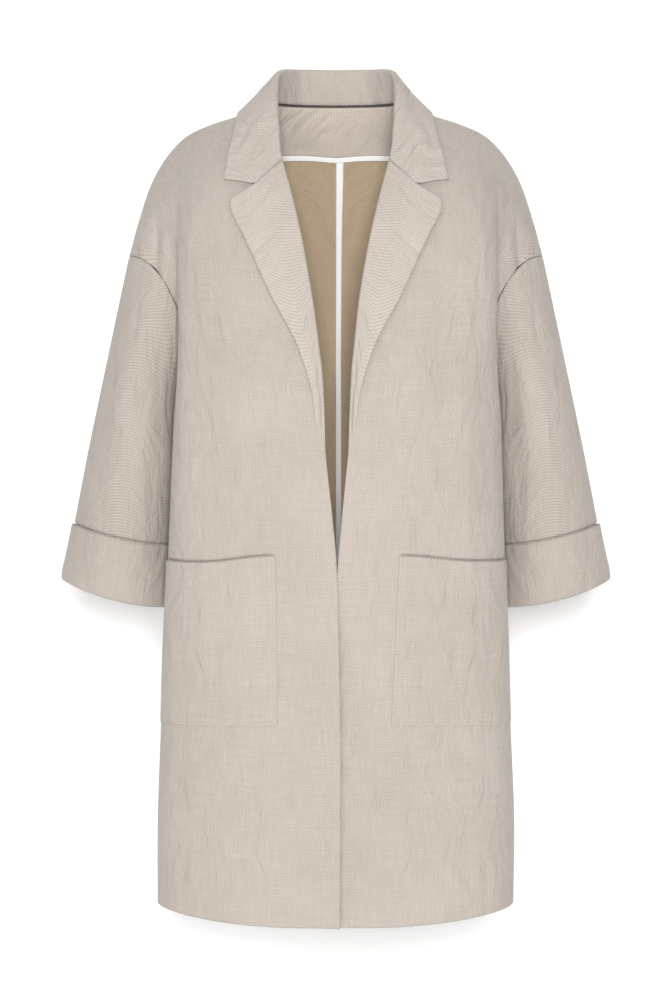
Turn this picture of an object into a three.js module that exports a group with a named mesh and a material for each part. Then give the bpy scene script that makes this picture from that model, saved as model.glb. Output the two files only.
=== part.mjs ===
import * as THREE from "three";

// Overcoat with notched lapels, filled out as worn and empty inside.
// Millimetres, +Z up, the coat faces -Y. Left and right are the wearer's, so left is +X.
// The origin is the middle of the neck opening at the level of the side neck points.

const LEFT = 1;
const RIGHT = -1;
const QUARTER_TURN = Math.PI / 2;
const SEAM_GAP = 0.45;
const CLOTH = 1.8;
const DOUBLE_CLOTH = 2.4;
const LAID_GAP = 0.4;

const COAT_CLOTH = { color: 0xcfc3b7, roughness: 0.92, metalness: 0 };
const WHITE_TAPE = { color: 0xf0efec, roughness: 0.85, metalness: 0 };

const lerp = (a, b, t) => a + (b - a) * t;
const between = (a, b, t) => a.map((value, i) => lerp(value, b[i], t));
const plus = (a, b, scale = 1) => a.map((value, i) => value + b[i] * scale);
const minus = (a, b) => a.map((value, i) => value - b[i]);
const dot = (a, b) => a.reduce((sum, value, i) => sum + value * b[i], 0);
const unit = (a) => a.map((value) => value / Math.hypot(...a));
const cross = (a, b) => [
  a[1] * b[2] - a[2] * b[1],
  a[2] * b[0] - a[0] * b[2],
  a[0] * b[1] - a[1] * b[0],
];
const mirrored = (point, side) => [point[0] * side, point[1], point[2]];
const radians = (degrees) => degrees * Math.PI / 180;

// A smooth curve through rows of numbers set at rising knots
function smoothCurve(knots, rows) {
  const last = knots.length - 1;
  const rise = (i, c) => (rows[i + 1][c] - rows[i][c]) / (knots[i + 1] - knots[i]);
  const slopes = rows.map((row, i) => row.map((value, c) => {
    if (i === 0) return rise(0, c);
    if (i === last) return rise(last - 1, c);
    const before = knots[i] - knots[i - 1];
    const after = knots[i + 1] - knots[i];
    return (rise(i - 1, c) * after + rise(i, c) * before) / (before + after);
  }));
  return (t) => {
    let i = 0;
    while (i < last - 1 && t > knots[i + 1]) i += 1;
    const span = knots[i + 1] - knots[i];
    const s = (t - knots[i]) / span;
    const toNext = s * s * (3 - 2 * s);
    const leave = s * (1 - s) * (1 - s) * span;
    const arrive = s * s * (s - 1) * span;
    return rows[i].map((value, c) => lerp(value, rows[i + 1][c], toNext)
      + slopes[i][c] * leave + slopes[i + 1][c] * arrive);
  };
}

// A table whose first column is the knot, read back as an object of named values
function namedTable(columns, rows) {
  const curve = smoothCurve(rows.map((row) => row[0]), rows);
  return (key) => Object.fromEntries(curve(key).map((value, i) => [columns[i], value]));
}

// A smooth curve through points, with its length running from 0 to 1
function curveThrough(points) {
  const lengths = [0];
  for (let i = 1; i < points.length; i += 1) {
    lengths.push(lengths[i - 1] + Math.hypot(...minus(points[i], points[i - 1])));
  }
  const total = lengths[lengths.length - 1];
  return smoothCurve(lengths.map((length) => length / total), points);
}

function steps(from, to, count) {
  return Array.from({ length: count + 1 }, (unused, i) => lerp(from, to, i / count));
}

// Body sections from hem to underarm. Half widths are to the soft fold in front of the arm.
// The rise is how far the side of a row lies above its middle.
const FOLD_Y = -55;
const BODY_ROWS = [
  [-965.5, 208.5, 207.5, -135, 124, 2.5, 2.1, 17.5],
  [-860, 208.5, 208.5, -135, 124, 2.5, 2.1, 4],
  [-735, 204.5, 204.0, -135, 124, 2.4, 2.2, -2],
  [-640, 201.5, 201.0, -134.5, 124, 2.4, 2.3, -4],
  [-541, 196.5, 197.5, -134, 124, 2.3, 2.3, -7],
  [-430, 192.0, 194.5, -132.5, 123, 2.2, 2.3, -7],
  [-360, 188.5, 192.0, -129.5, 122.5, 2.2, 2.35, -8],
];
const bodyAt = namedTable(
  ["level", "rightHalf", "leftHalf", "front", "back", "frontPower", "backPower", "rise"],
  BODY_ROWS,
);

// The opening edge, measured outwards from the centre line; the tuck sets the left one deeper
const openingAt = namedTable(["level", "right", "left", "tuck"], [
  [-965.5, -4.5, -8, 3.6],
  [-700, -4.5, -8, 3.6],
  [-612, -2.3, -1, 3.4],
  [-558, -0.6, 2.3, 2.4],
  [-503, 2.6, 4.6, 1],
  [-458, 7.5, 9, 0],
  [-430, 11.5, 13.5, 0],
  [-394, 14.5, 16.8, 0],
  [-321, 22, 24, 0],
  [-270, 29.5, 29.5, 0],
  [-236, 34, 33.6, 0],
  [-194, 41.3, 40.8, 0],
  [-142, 52, 51.5, 0],
  [-98, 62.8, 62.5, 0],
  [-79, 68.6, 68, 0],
  [-35, 76.5, 76.5, 0],
  [0, 80, 80, 0],
]);

// The armhole: an oval ring round the upper arm, turned from the top (0) over the front (90)
const ARMHOLE_CENTRE = [211, 34, -249];
const ARMHOLE_TO_TOP = [39.5, -6, 66];
const ARMHOLE_TO_FRONT = [0, -66, 0];
const ARMHOLE_BOW = [-10, 0, 27];
function armhole(degrees) {
  const turn = radians(degrees);
  const along = plus(ARMHOLE_CENTRE, ARMHOLE_TO_TOP, Math.cos(turn));
  const across = plus(along, ARMHOLE_TO_FRONT, Math.sin(turn));
  return plus(across, ARMHOLE_BOW, Math.sin(turn) ** 2);
}

// The shoulder ridge from the side neck point to the top of the armhole
const shoulderRidge = curveThrough([
  [80, 0, 0],
  [115, 4, -15],
  [150, 6, -26],
  [180, 8, -40],
  [205, 12, -65.5],
  [220, 16, -90],
  [237.5, 23, -137],
  [250.5, 28, -183],
]);

// The neck seam, a quarter of it, from the centre back to the side neck point
const NECK_HALF = 80;
const NECK_BACK = 70;
const NECK_LIFT = 7;
const NECK_POWER = 2 / 2.3;
function neckSeam(t) {
  const turn = t * QUARTER_TURN;
  const across = Math.sin(turn) ** NECK_POWER;
  const back = Math.max(Math.cos(turn), 0) ** NECK_POWER;
  return [NECK_HALF * across, NECK_BACK * back, NECK_LIFT * back];
}

// Rows above the underarm. Edge: the opening edge or centre back. Fold: where the row
// turns towards the arm. Bulge and power shape the row up to the fold, the hollow after it.
const UPPER_COLUMNS = ["degrees", "edgeY", "edgeZ", "foldX", "foldY", "foldZ", "bulge", "power",
  "lift", "hollowX", "hollowY", "hollowZ"];
const FRONT_ROWS = [
  [180, -124.5, -300, 186, -58, -306, 27, 2.2, 0, -4, 0, -3],
  [150, -114.5, -238, 186.5, -62, -264, 26, 2.2, 0, -4, 9, -2],
  [120, -98, -178, 187, -63, -224, 27, 2.2, 0, -4, 11, 0],
  [90, -79, -122, 187, -60, -184, 25, 2.1, 0, -6, 7, 2],
  [60, -49, -66, 187, -53, -142, 21, 1.8, 0, -2, 0, 6],
  [30, -21, -24, 184, -36, -97, 13, 1.5, 0, 3, -4, 9],
];
const BACK_ROWS = [
  [180, 122, -300, 148, 78, -306, 14, 2, 0, 3, 4, 0],
  [150, 121, -240, 158, 88, -264, 11, 1.9, 2, 2, 2, 0],
  [120, 118, -182, 165, 95, -224, 9, 1.8, 8, -2, 0, 2],
  [90, 112, -130, 170, 92, -184, 9, 1.6, 14, 0, 2, 6],
  [60, 103, -84, 174, 78, -144, 12, 1.5, 22, 2, 6, 8],
  [30, 92, -44, 178, 52, -100, 14, 1.5, 24, 4, 6, 10],
];
const FOLD_OUT = { [LEFT]: 3, [RIGHT]: -0.5 };
const CHEST_STEPS = [0.2, 0.4, 0.6, 0.76, 0.88, 0.96, 1];
const ARM_STEPS = [0.25, 0.5, 0.75, 1];
const BULGE_PEAK = 0.7;
const roundShare = (s, power) => (1 - s ** power) ** (1 / power) - (1 - s);

function upperRow(values, edgeX, side, facing) {
  const row = Object.fromEntries(values.map((value, i) => [UPPER_COLUMNS[i], value]));
  const edge = [edgeX, row.edgeY, row.edgeZ];
  const fold = [row.foldX + (facing === "front" ? FOLD_OUT[side] : 0), row.foldY, row.foldZ];
  const seam = armhole(facing === "front" ? row.degrees : -row.degrees);
  const bulge = [0, facing === "front" ? -row.bulge : row.bulge, row.lift];
  const hollow = [row.hollowX, row.hollowY, row.hollowZ];
  const peak = roundShare(BULGE_PEAK, row.power);
  const chest = CHEST_STEPS.map((s) => plus(
    between(edge, fold, s), bulge, roundShare(s, row.power) / peak));
  const arm = ARM_STEPS.map((s) => plus(
    between(fold, seam, s), hollow, Math.sin(Math.PI * s)));
  return curveThrough([edge, ...chest, ...arm]);
}

// Side seam: how far back it runs at the underarm and at the hem
const SEAM_Y_UNDERARM = 40;
const SEAM_Y_HEM = 25;
const HEM_LEVEL = BODY_ROWS[0][0];
const UNDERARM_LEVEL = -300;
const TUCK_WIDTH = 70;
const FRONT_TURNS = [0.16, 0.32, 0.47, 0.6, 0.72, 0.84, 0.94];
const BACK_TURNS = [0.15, 0.32, 0.5, 0.68, 0.85];

function lowerRow(level, side, facing) {
  const section = bodyAt(level);
  const half = side === LEFT ? section.leftHalf : section.rightHalf;
  const seamY = lerp(SEAM_Y_HEM, SEAM_Y_UNDERARM,
    (level - HEM_LEVEL) / (UNDERARM_LEVEL - HEM_LEVEL));
  const seamShare = (seamY - FOLD_Y) / (section.back - FOLD_Y);
  const seamTurn = QUARTER_TURN + Math.asin(seamShare ** (section.backPower / 2));
  const opening = openingAt(level);
  const pointAt = (turn) => {
    const toFront = turn < QUARTER_TURN;
    const power = 2 / (toFront ? section.frontPower : section.backPower);
    const reach = toFront ? section.front : section.back;
    const x = half * Math.max(Math.sin(turn), 0) ** power;
    const y = FOLD_Y + (reach - FOLD_Y) * Math.abs(Math.cos(turn)) ** power;
    const tuck = side === LEFT && toFront
      ? opening.tuck * Math.max(1 - x / TUCK_WIDTH, 0) ** 2 : 0;
    return [x, y + tuck, level + section.rise * Math.sin(turn) ** 2];
  };
  if (facing === "back") {
    const turns = BACK_TURNS.map((share) => lerp(Math.PI, seamTurn, share));
    return curveThrough([[0, section.back, level], ...turns.map(pointAt), pointAt(seamTurn)]);
  }
  const edgeX = side === LEFT ? opening.left : opening.right;
  const edgeY = section.front + (side === LEFT ? opening.tuck : 0);
  const turns = FRONT_TURNS.map((share) => share * seamTurn);
  return curveThrough([[edgeX, edgeY, level], ...turns.map(pointAt), pointAt(seamTurn)]);
}

// A panel: rows of curves from hem to shoulder, u across and v up, both from 0 to 1
const UNDERARM_V = 0.66;
const LOWER_V = BODY_ROWS.map((row) => UNDERARM_V
  * (row[0] - HEM_LEVEL) / (UNDERARM_LEVEL - HEM_LEVEL));
const UPPER_STEP = (1 - UNDERARM_V) / FRONT_ROWS.length;
const UPPER_V = FRONT_ROWS.map((row, i) => UNDERARM_V + UPPER_STEP * i);
const NECK_U = 0.29;

function backTop(u) {
  if (u < NECK_U) return neckSeam(u / NECK_U);
  return shoulderRidge((u - NECK_U) / (1 - NECK_U));
}

function panel(side, facing) {
  const lower = BODY_ROWS.map((row) => lowerRow(row[0], side, facing));
  const upper = facing === "front"
    ? FRONT_ROWS.map((row) => {
      const opening = openingAt(row[2]);
      return upperRow(row, side === LEFT ? opening.left : opening.right, side, facing);
    })
    : BACK_ROWS.map((row) => upperRow(row, 0, side, facing));
  const top = facing === "front" ? shoulderRidge : backTop;
  const rows = [...lower, ...upper, top];
  const knots = [...LOWER_V, ...UPPER_V, 1, 1 + UPPER_STEP];
  return (u, v) => {
    const points = rows.map((row) => row(u));
    const ridge = points[points.length - 1];
    const below = points[points.length - 2];
    const rounded = [below[0], 2 * ridge[1] - below[1], below[2]];
    const straight = plus(ridge, minus(ridge, below));
    const onNeck = facing === "back" ? Math.min(Math.max((u - NECK_U) / NECK_BLEND, 0), 1) : 1;
    points.push(between(straight, rounded, onNeck));
    return smoothCurve(knots, points)(v);
  };
}
const NECK_BLEND = 0.15;

// A surface remembers nothing; its normal comes from small steps along it
const SMALL = 1e-3;
function normalAt(surface, u, v) {
  const du = minus(surface(u + SMALL, v), surface(u - SMALL, v));
  const dv = minus(surface(u, v + SMALL), surface(u, v - SMALL));
  return unit(cross(du, dv));
}

// Closed wall between two offsets of a surface; the surface's normal points outwards.
// From the u it turns at, its cells are cut along their other diagonal.
function wall(name, look, side, surface, us, vs, low, high, ring = false, turnsAt = Infinity) {
  const columns = us.length;
  const positions = [];
  for (const offset of [high, low]) {
    for (const v of vs) {
      for (const u of us) {
        const normal = normalAt(surface, u, v);
        positions.push(...mirrored(plus(surface(u, v), normal, offset), side));
      }
    }
  }
  const layer = columns * vs.length;
  const at = (i, j, deep) => (deep ? layer : 0) + j * columns + (i % columns);
  const faces = [];
  const quad = (a, b, c, d, turn = false) => {
    if (turn) faces.push(b, c, d, b, d, a);
    else faces.push(a, b, c, a, c, d);
  };
  const across = ring ? columns : columns - 1;
  for (let j = 0; j < vs.length - 1; j += 1) {
    for (let i = 0; i < across; i += 1) {
      const turn = us[i] >= turnsAt;
      quad(at(i, j, false), at(i + 1, j, false), at(i + 1, j + 1, false), at(i, j + 1, false),
        turn);
      quad(at(i, j, true), at(i, j + 1, true), at(i + 1, j + 1, true), at(i + 1, j, true), turn);
    }
  }
  const top = vs.length - 1;
  for (let i = 0; i < across; i += 1) {
    quad(at(i, 0, true), at(i + 1, 0, true), at(i + 1, 0, false), at(i, 0, false));
    quad(at(i, top, false), at(i + 1, top, false), at(i + 1, top, true), at(i, top, true));
  }
  for (let j = 0; j < top && !ring; j += 1) {
    const end = columns - 1;
    quad(at(0, j, false), at(0, j + 1, false), at(0, j + 1, true), at(0, j, true));
    quad(at(end, j, true), at(end, j + 1, true), at(end, j + 1, false), at(end, j, false));
  }
  if (side === RIGHT) {
    for (let i = 0; i < faces.length; i += 3) {
      [faces[i + 1], faces[i + 2]] = [faces[i + 2], faces[i + 1]];
    }
  }
  const geometry = new THREE.BufferGeometry();
  geometry.setAttribute("position", new THREE.Float32BufferAttribute(positions, 3));
  geometry.setIndex(faces);
  geometry.computeVertexNormals();
  const mesh = new THREE.Mesh(geometry, new THREE.MeshStandardMaterial(look));
  mesh.name = name;
  return mesh;
}

// Grid lines shared by every piece that lies on a panel
const PANEL_LENGTH = 330;
const PANEL_HEIGHT = 1000;
const EDGE_U = SEAM_GAP / PANEL_LENGTH;
const EDGE_V = SEAM_GAP / PANEL_HEIGHT;
const POCKET_INNER_U = 0.215;
const POCKET_OUTER_U = 0.715;
const POCKET_BOTTOM_V = LOWER_V[2];
const POCKET_TOP_V = LOWER_V[4];
const FRONT_US = [
  ...steps(0, POCKET_INNER_U, 4),
  ...steps(POCKET_INNER_U, POCKET_OUTER_U, 7).slice(1),
  ...steps(POCKET_OUTER_U, 1 - EDGE_U, 6).slice(1),
];
const PANEL_VS = [
  ...steps(0, POCKET_BOTTOM_V, 3),
  ...steps(POCKET_BOTTOM_V, POCKET_TOP_V, 3).slice(1),
  ...steps(POCKET_TOP_V, UNDERARM_V, 4).slice(1),
  ...steps(UNDERARM_V, 1 - EDGE_V, 12).slice(1),
];
const SEAM_BINDING_U = 0.032;
const BACK_US = [
  EDGE_U,
  SEAM_BINDING_U,
  ...steps(SEAM_BINDING_U, NECK_U, 4).slice(1),
  ...FRONT_US.slice(1).map((u) => lerp(NECK_U, 1, u)),
];
const FACING_V = UPPER_V[4] + UPPER_STEP * 0.83;
const FACING_BINDING_V = FACING_V - 0.006;
const BACK_TOP_V = 1 - 2.5 * EDGE_V;
const BACK_VS = [...PANEL_VS.slice(0, -1), BACK_TOP_V, FACING_V, FACING_BINDING_V]
  .sort((a, b) => a - b);

// The back runs from the centre to the side, so it is turned round to face outwards
const turned = (surface) => (u, v) => surface(1 - u, v);
const turnedSteps = (us) => us.map((u) => 1 - u).reverse();

const coat = new THREE.Group();
coat.name = "overcoat";
const SIDES = [["left", LEFT], ["right", RIGHT]];
const fronts = { left: panel(LEFT, "front"), right: panel(RIGHT, "front") };
const backs = { left: panel(LEFT, "back"), right: panel(RIGHT, "back") };
for (const [name, side] of SIDES) {
  coat.add(wall(`front_${name}`, COAT_CLOTH, side, fronts[name],
    FRONT_US, PANEL_VS, -CLOTH, 0));
  coat.add(wall(`back_${name}`, COAT_CLOTH, side, turned(backs[name]),
    turnedSteps(BACK_US), BACK_VS, -CLOTH, 0));
}

// Patch pockets, laid on the fronts
const withinLines = (lines, from, to) => lines.filter((line) => line >= from && line <= to);
for (const [name, side] of SIDES) {
  const us = withinLines(FRONT_US, POCKET_INNER_U, POCKET_OUTER_U);
  const vs = withinLines(PANEL_VS, POCKET_BOTTOM_V, POCKET_TOP_V);
  coat.add(wall(`pocket_${name}`, COAT_CLOTH, side, fronts[name],
    us, vs, LAID_GAP, LAID_GAP + CLOTH));
}

// Sleeves: from the armhole ring through ovals to the cuff
const SLEEVE_COLUMNS = ["w", "x", "y", "z", "halfWidth", "halfDepth", "lean", "dip"];
const SLEEVE_ROWS = [
  [0.3, 236, 38, -344, 48.5, 69, 12, 1],
  [0.55, 247, 39, -430, 55.5, 66, 12.5, 2],
  [0.8, 259, 40, -520, 61, 63, 12.5, 4],
  [1, 267, 41, -584.5, 66, 61, 14.5, 6],
];
const FULL_TURN = 360;
const HALF_TURN = 180;
const SLEEVE_START = [0.6, 0, -0.8];
const armholeV = (degrees) => lerp(1, UNDERARM_V, degrees / HALF_TURN);

function sleeve(name) {
  return (a, w) => {
    const degrees = ((a * FULL_TURN) % FULL_TURN + FULL_TURN) % FULL_TURN;
    const start = degrees <= HALF_TURN
      ? fronts[name](1, armholeV(degrees))
      : backs[name](1, armholeV(FULL_TURN - degrees));
    const turn = radians(degrees);
    const rings = SLEEVE_ROWS.map((values) => {
      const ring = Object.fromEntries(values.map((value, i) => [SLEEVE_COLUMNS[i], value]));
      const lean = radians(ring.lean);
      const out = ring.halfWidth * Math.cos(turn);
      return [
        ring.x + out * Math.cos(lean),
        ring.y - ring.halfDepth * Math.sin(turn),
        ring.z + out * Math.sin(lean) - ring.dip * Math.sin(turn) ** 2,
      ];
    });
    const knots = [0, ...SLEEVE_ROWS.map((row) => row[0])];
    return smoothCurve(knots, [plus(start, SLEEVE_START, SEAM_GAP), ...rings])(w);
  };
}
const sleeves = { left: sleeve("left"), right: sleeve("right") };
const armholeTurns = PANEL_VS.filter((v) => v >= UNDERARM_V)
  .map((v) => HALF_TURN * (1 - v) / (1 - UNDERARM_V));
armholeTurns[armholeTurns.length - 1] = 0;
const SLEEVE_US = [
  ...armholeTurns.slice().reverse(),
  ...armholeTurns.slice(1, -1).map((degrees) => FULL_TURN - degrees),
].map((degrees) => degrees / FULL_TURN);
const CUFF_TOP_W = 0.8;
const SLEEVE_END_W = 0.998;
const SLEEVE_WS = [0, 0.08, 0.18, 0.3, 0.43, 0.55, 0.68, CUFF_TOP_W, 0.9, SLEEVE_END_W];

// Cuffs: a turned-back band with its fold below the sleeve's end
const CUFF_SHAPE = [
  [0, 0.798, 1.65],
  [0.4, 0.9, 1.75],
  [0.78, 0.994, 2],
  [0.88, 1.012, 1],
  [0.94, 1.014, -1.4],
  [1, 1.002, -4.2],
];
const cuffAt = namedTable(["p", "w", "height"], CUFF_SHAPE);
const CUFF_PS = CUFF_SHAPE.map((row) => row[0]);
for (const [name, side] of SIDES) {
  const surface = sleeves[name];
  coat.add(wall(`sleeve_${name}`, COAT_CLOTH, side, surface,
    SLEEVE_US, SLEEVE_WS, -CLOTH, 0, true));
  const cuff = (a, p) => {
    const { w, height } = cuffAt(p);
    return plus(surface(a, w), normalAt(surface, a, w), height);
  };
  coat.add(wall(`cuff_${name}`, COAT_CLOTH, side, cuff,
    SLEEVE_US, CUFF_PS, -DOUBLE_CLOTH / 2, DOUBLE_CLOTH / 2, true));
}

// The point over a front seen at x and z, moved out from its cloth
const LAY_STEP = 1e-3;
const LAY_ROUNDS = 12;
function laidOn(front, x, z, height) {
  let u = 0.4;
  let v = 0.8;
  for (let round = 0; round < LAY_ROUNDS; round += 1) {
    const here = front(u, v);
    const du = minus(front(u + LAY_STEP, v), here).map((value) => value / LAY_STEP);
    const dv = minus(front(u, v + LAY_STEP), here).map((value) => value / LAY_STEP);
    const area = du[0] * dv[2] - dv[0] * du[2];
    u += ((x - here[0]) * dv[2] - (z - here[2]) * dv[0]) / area;
    v += ((z - here[2]) * du[0] - (x - here[0]) * du[2]) / area;
  }
  return plus(front(u, v), normalAt(front, u, v), height);
}

// How far up a front its opening edge reaches a level
const HALVINGS = 40;
function edgeV(front, level) {
  let low = 0;
  let high = 1;
  for (let round = 0; round < HALVINGS; round += 1) {
    const middle = (low + high) / 2;
    if (front(0, middle)[2] < level) low = middle;
    else high = middle;
  }
  return low;
}

// The roll: cloth turned round the opening edge, from a tuck inside to the outer leaf
const ROLL_RADIUS = 3.8;
const ROLL_TURNS = [10, 50, 90, 130, 170].map(radians);
const EDGE_TO_ROLL = 4.4;
const TUCK_U = 0.035;
const TUCK_DEPTH = -4.8;
function rollAt(front, level) {
  const v = edgeV(front, level);
  const out = unit(minus(front(SMALL, v), front(-SMALL, v)));
  const normal = normalAt(front, 0, v);
  const roll = plus(plus(front(0, v), out, -EDGE_TO_ROLL), normal, -CLOTH / 2);
  const tuck = plus(front(TUCK_U, v), normalAt(front, TUCK_U, v), TUCK_DEPTH);
  return { roll, tuck };
}

function aroundRoll(base, roll, middle) {
  const crest = unit(minus(roll, between(base, middle, 0.5)));
  const span = minus(middle, base);
  const flat = unit(plus(span, crest, -dot(span, crest)));
  const centre = plus(roll, crest, -ROLL_RADIUS);
  return ROLL_TURNS.map((turn) => plus(
    plus(centre, flat, -ROLL_RADIUS * Math.cos(turn)), crest, ROLL_RADIUS * Math.sin(turn)));
}

const throughIndex = (points, t) => smoothCurve(
  points.map((point, i) => i / (points.length - 1)), points)(t);
const evenly = (count) => steps(0, 1, count);

// Lapels, from the gorge seam at the top down to where the roll starts
const GORGE_LEVEL = -80;
const LAPEL_HEIGHTS = { inner: 3.4, middle: 3.6, outer: 3.2, edge: 2.4 };
const LAPEL_ROWS = [
  [0, GORGE_LEVEL, 123.5, -131, 5],
  [0.08, -105, 120, -148, 0],
  [0.16, -135, 108, -171, 0],
  [0.26, -175, 91, -208, 0],
  [0.36, -215, 76, -241, 0],
  [0.46, -250, 60, -270, 0],
  [0.55, -285, 46, -297, 0],
  [0.66, -325, 33.5, -332, 0],
  [0.76, -360, 27, -357, 0],
  [0.89, -405, 22.5, -400, 0],
  [1, -440, 19, -440, 0],
];
const lapelAt = namedTable(["s", "rollLevel", "outerX", "outerZ", "sag"], LAPEL_ROWS);
const GORGE_GAP = [0.3, 0, 0.3];

function lapelRow(front, s) {
  const row = lapelAt(s);
  const { roll, tuck } = rollAt(front, row.rollLevel);
  const outer = [row.outerX, row.outerZ];
  const middle = between([roll[0], roll[2]], outer, 0.5);
  middle[1] -= row.sag;
  const middlePoint = laidOn(front, ...middle, LAPEL_HEIGHTS.middle);
  const around = aroundRoll(tuck, roll, middlePoint);
  const leaf = around[around.length - 1];
  const inner = between([leaf[0], leaf[2]], middle, 0.5);
  return [
    tuck,
    ...around,
    laidOn(front, ...inner, LAPEL_HEIGHTS.inner),
    middlePoint,
    laidOn(front, ...between(middle, outer, 0.5), LAPEL_HEIGHTS.outer),
    laidOn(front, ...outer, LAPEL_HEIGHTS.edge),
  ];
}
const LAPEL_POINTS = 10;
for (const [name, side] of SIDES) {
  const rows = new Map();
  const rowAt = (s) => {
    if (!rows.has(s)) rows.set(s, lapelRow(fronts[name], s).map((p) => plus(p, GORGE_GAP, -1)));
    return rows.get(s);
  };
  const lapel = (s, w) => throughIndex(rowAt(s), w);
  coat.add(wall(`lapel_${name}`, COAT_CLOTH, side, (s, w) => lapel(s, w),
    LAPEL_ROWS.map((row) => row[0]), evenly(LAPEL_POINTS - 1),
    -DOUBLE_CLOTH / 2, DOUBLE_CLOTH / 2));
}

// Collar: stand, roll and fall in stations from the centre back to the gorge
const COLLAR_TIP = [131, -104];
const COLLAR_EDGE_HEIGHT = 2.6;
const COLLAR_STATIONS = [
  { at: 0, base: [0, 70, 9], roll: [0, 73, 52], middle: [0, 87, 28], edge: [0, 99, -6] },
  { at: 0.18, base: [45, 60, 8], roll: [43, 64, 51], middle: [55, 78, 27], edge: [62, 88, -9] },
  { at: 0.33, base: [72, 28, 4.5], roll: [66, 36, 45], middle: [84, 43, 24], edge: [99, 48, -12] },
  { at: 0.49, base: [80, 0, 2.5], roll: [71.5, 4, 27], middle: [92, 5, 12], edge: [116, 3, -11] },
  { at: 0.62, base: [76, -14, -10], roll: [70.5, -18, 3], middle: [99, -28, -20] },
  { at: 0.83, base: [68.5, -32.5, -52], roll: [67.5, -41, -42], middle: [98, -58, -66] },
  { at: 1 },
];
const COLLAR_EDGE_OVER_FRONT = [[0.62, 121, -50], [0.83, 127, -80]];
const COLLAR_OVER_SHOULDER = 5.6;
const COLLAR_LEFT_IN = 2.5;
function collarEnds(front, inwards) {
  const { roll, tuck } = rollAt(front, GORGE_LEVEL);
  const gorge = lapelRow(front, 0);
  const notch = gorge[LAPEL_POINTS - 3];
  const stations = COLLAR_STATIONS.map((station) => {
    const over = COLLAR_EDGE_OVER_FRONT.find((row) => row[0] === station.at);
    if (over) {
      return { ...station, edge: laidOn(front, over[1], over[2], COLLAR_OVER_SHOULDER) };
    }
    if (station.at === 1) {
      const edge = laidOn(front, ...COLLAR_TIP, COLLAR_EDGE_HEIGHT);
      return { at: 1, base: tuck, roll, middle: notch, edge };
    }
    return station;
  });
  const columns = stations.map(({ at, base, roll: top, middle, edge }) => {
    const shift = [-inwards * Math.sin(Math.PI * at), 0, 0];
    return [...base, ...top, ...plus(middle, shift), ...plus(edge, shift)];
  });
  return smoothCurve(stations.map((station) => station.at), columns);
}
const collarSides = {
  left: collarEnds(fronts.left, COLLAR_LEFT_IN),
  right: collarEnds(fronts.right, 0),
};
function collarRow(name, t) {
  const values = collarSides[name](t);
  const [base, roll, middle, edge] = [0, 3, 6, 9].map((i) => values.slice(i, i + 3));
  const around = aroundRoll(base, roll, middle);
  const first = around[0];
  const leaf = around[around.length - 1];
  const points = [
    base,
    between(base, first, 0.5),
    ...around,
    between(leaf, middle, 0.5),
    middle,
    between(middle, edge, 0.5),
    edge,
  ];
  return points.map((point) => plus(point, GORGE_GAP, t ** 8));
}
const COLLAR_POINTS = 11;
const COLLAR_TS = [0, 0.09, 0.18, 0.26, 0.33, 0.41, 0.49, 0.56, 0.62, 0.69, 0.76, 0.83, 0.92, 1];
const COLLAR_SS = [...COLLAR_TS.slice(1).map((t) => -t).reverse(), ...COLLAR_TS];
const collarSurface = (s, w) => (s < 0
  ? mirrored(throughIndex(collarRow("right", -s), w), RIGHT)
  : throughIndex(collarRow("left", s), w));
coat.add(wall("collar", COAT_CLOTH, LEFT, collarSurface, COLLAR_SS,
  evenly(COLLAR_POINTS - 1), -DOUBLE_CLOTH / 2, DOUBLE_CLOTH / 2));

// Back neck facing and its white binding, across both backs on the inside
const FACING_END_U = FRONT_US[3] * (1 - NECK_U) + NECK_U;
const FACING_US = withinLines(BACK_US, SEAM_BINDING_U, FACING_END_U + SMALL);
const acrossBack = (u, v) => (u < 0
  ? backs.left(-u, v)
  : mirrored(backs.right(u, v), RIGHT));
const ACROSS_US = [...FACING_US.map((u) => -u).reverse(), 0, ...FACING_US];
const FACING_VS = withinLines(BACK_VS, FACING_V, 1);
const FACING_OUT = -CLOTH - LAID_GAP;
const FACING_CLOTH = 1.4;
const BINDING_THICK = 1.8;
coat.add(wall("back_neck_facing", COAT_CLOTH, LEFT, acrossBack, ACROSS_US,
  FACING_VS, FACING_OUT - FACING_CLOTH, FACING_OUT, false, 0));
const BINDING_GAP_V = 0.0004;
coat.add(wall("facing_binding", WHITE_TAPE, LEFT, acrossBack, ACROSS_US,
  [FACING_BINDING_V, FACING_V - BINDING_GAP_V], FACING_OUT - BINDING_THICK, FACING_OUT,
  false, 0));

// White binding of the centre back seam, pressed to the wearer's left
const SEAM_BINDING_VS = [
  ...withinLines(BACK_VS, 0.01, FACING_BINDING_V - SMALL),
  FACING_BINDING_V - BINDING_GAP_V,
];
coat.add(wall("centre_back_binding", WHITE_TAPE, LEFT, turned(backs.left),
  turnedSteps([EDGE_U, SEAM_BINDING_U]), SEAM_BINDING_VS,
  FACING_OUT - FACING_CLOTH, FACING_OUT));

export default coat;
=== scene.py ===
import math

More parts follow.
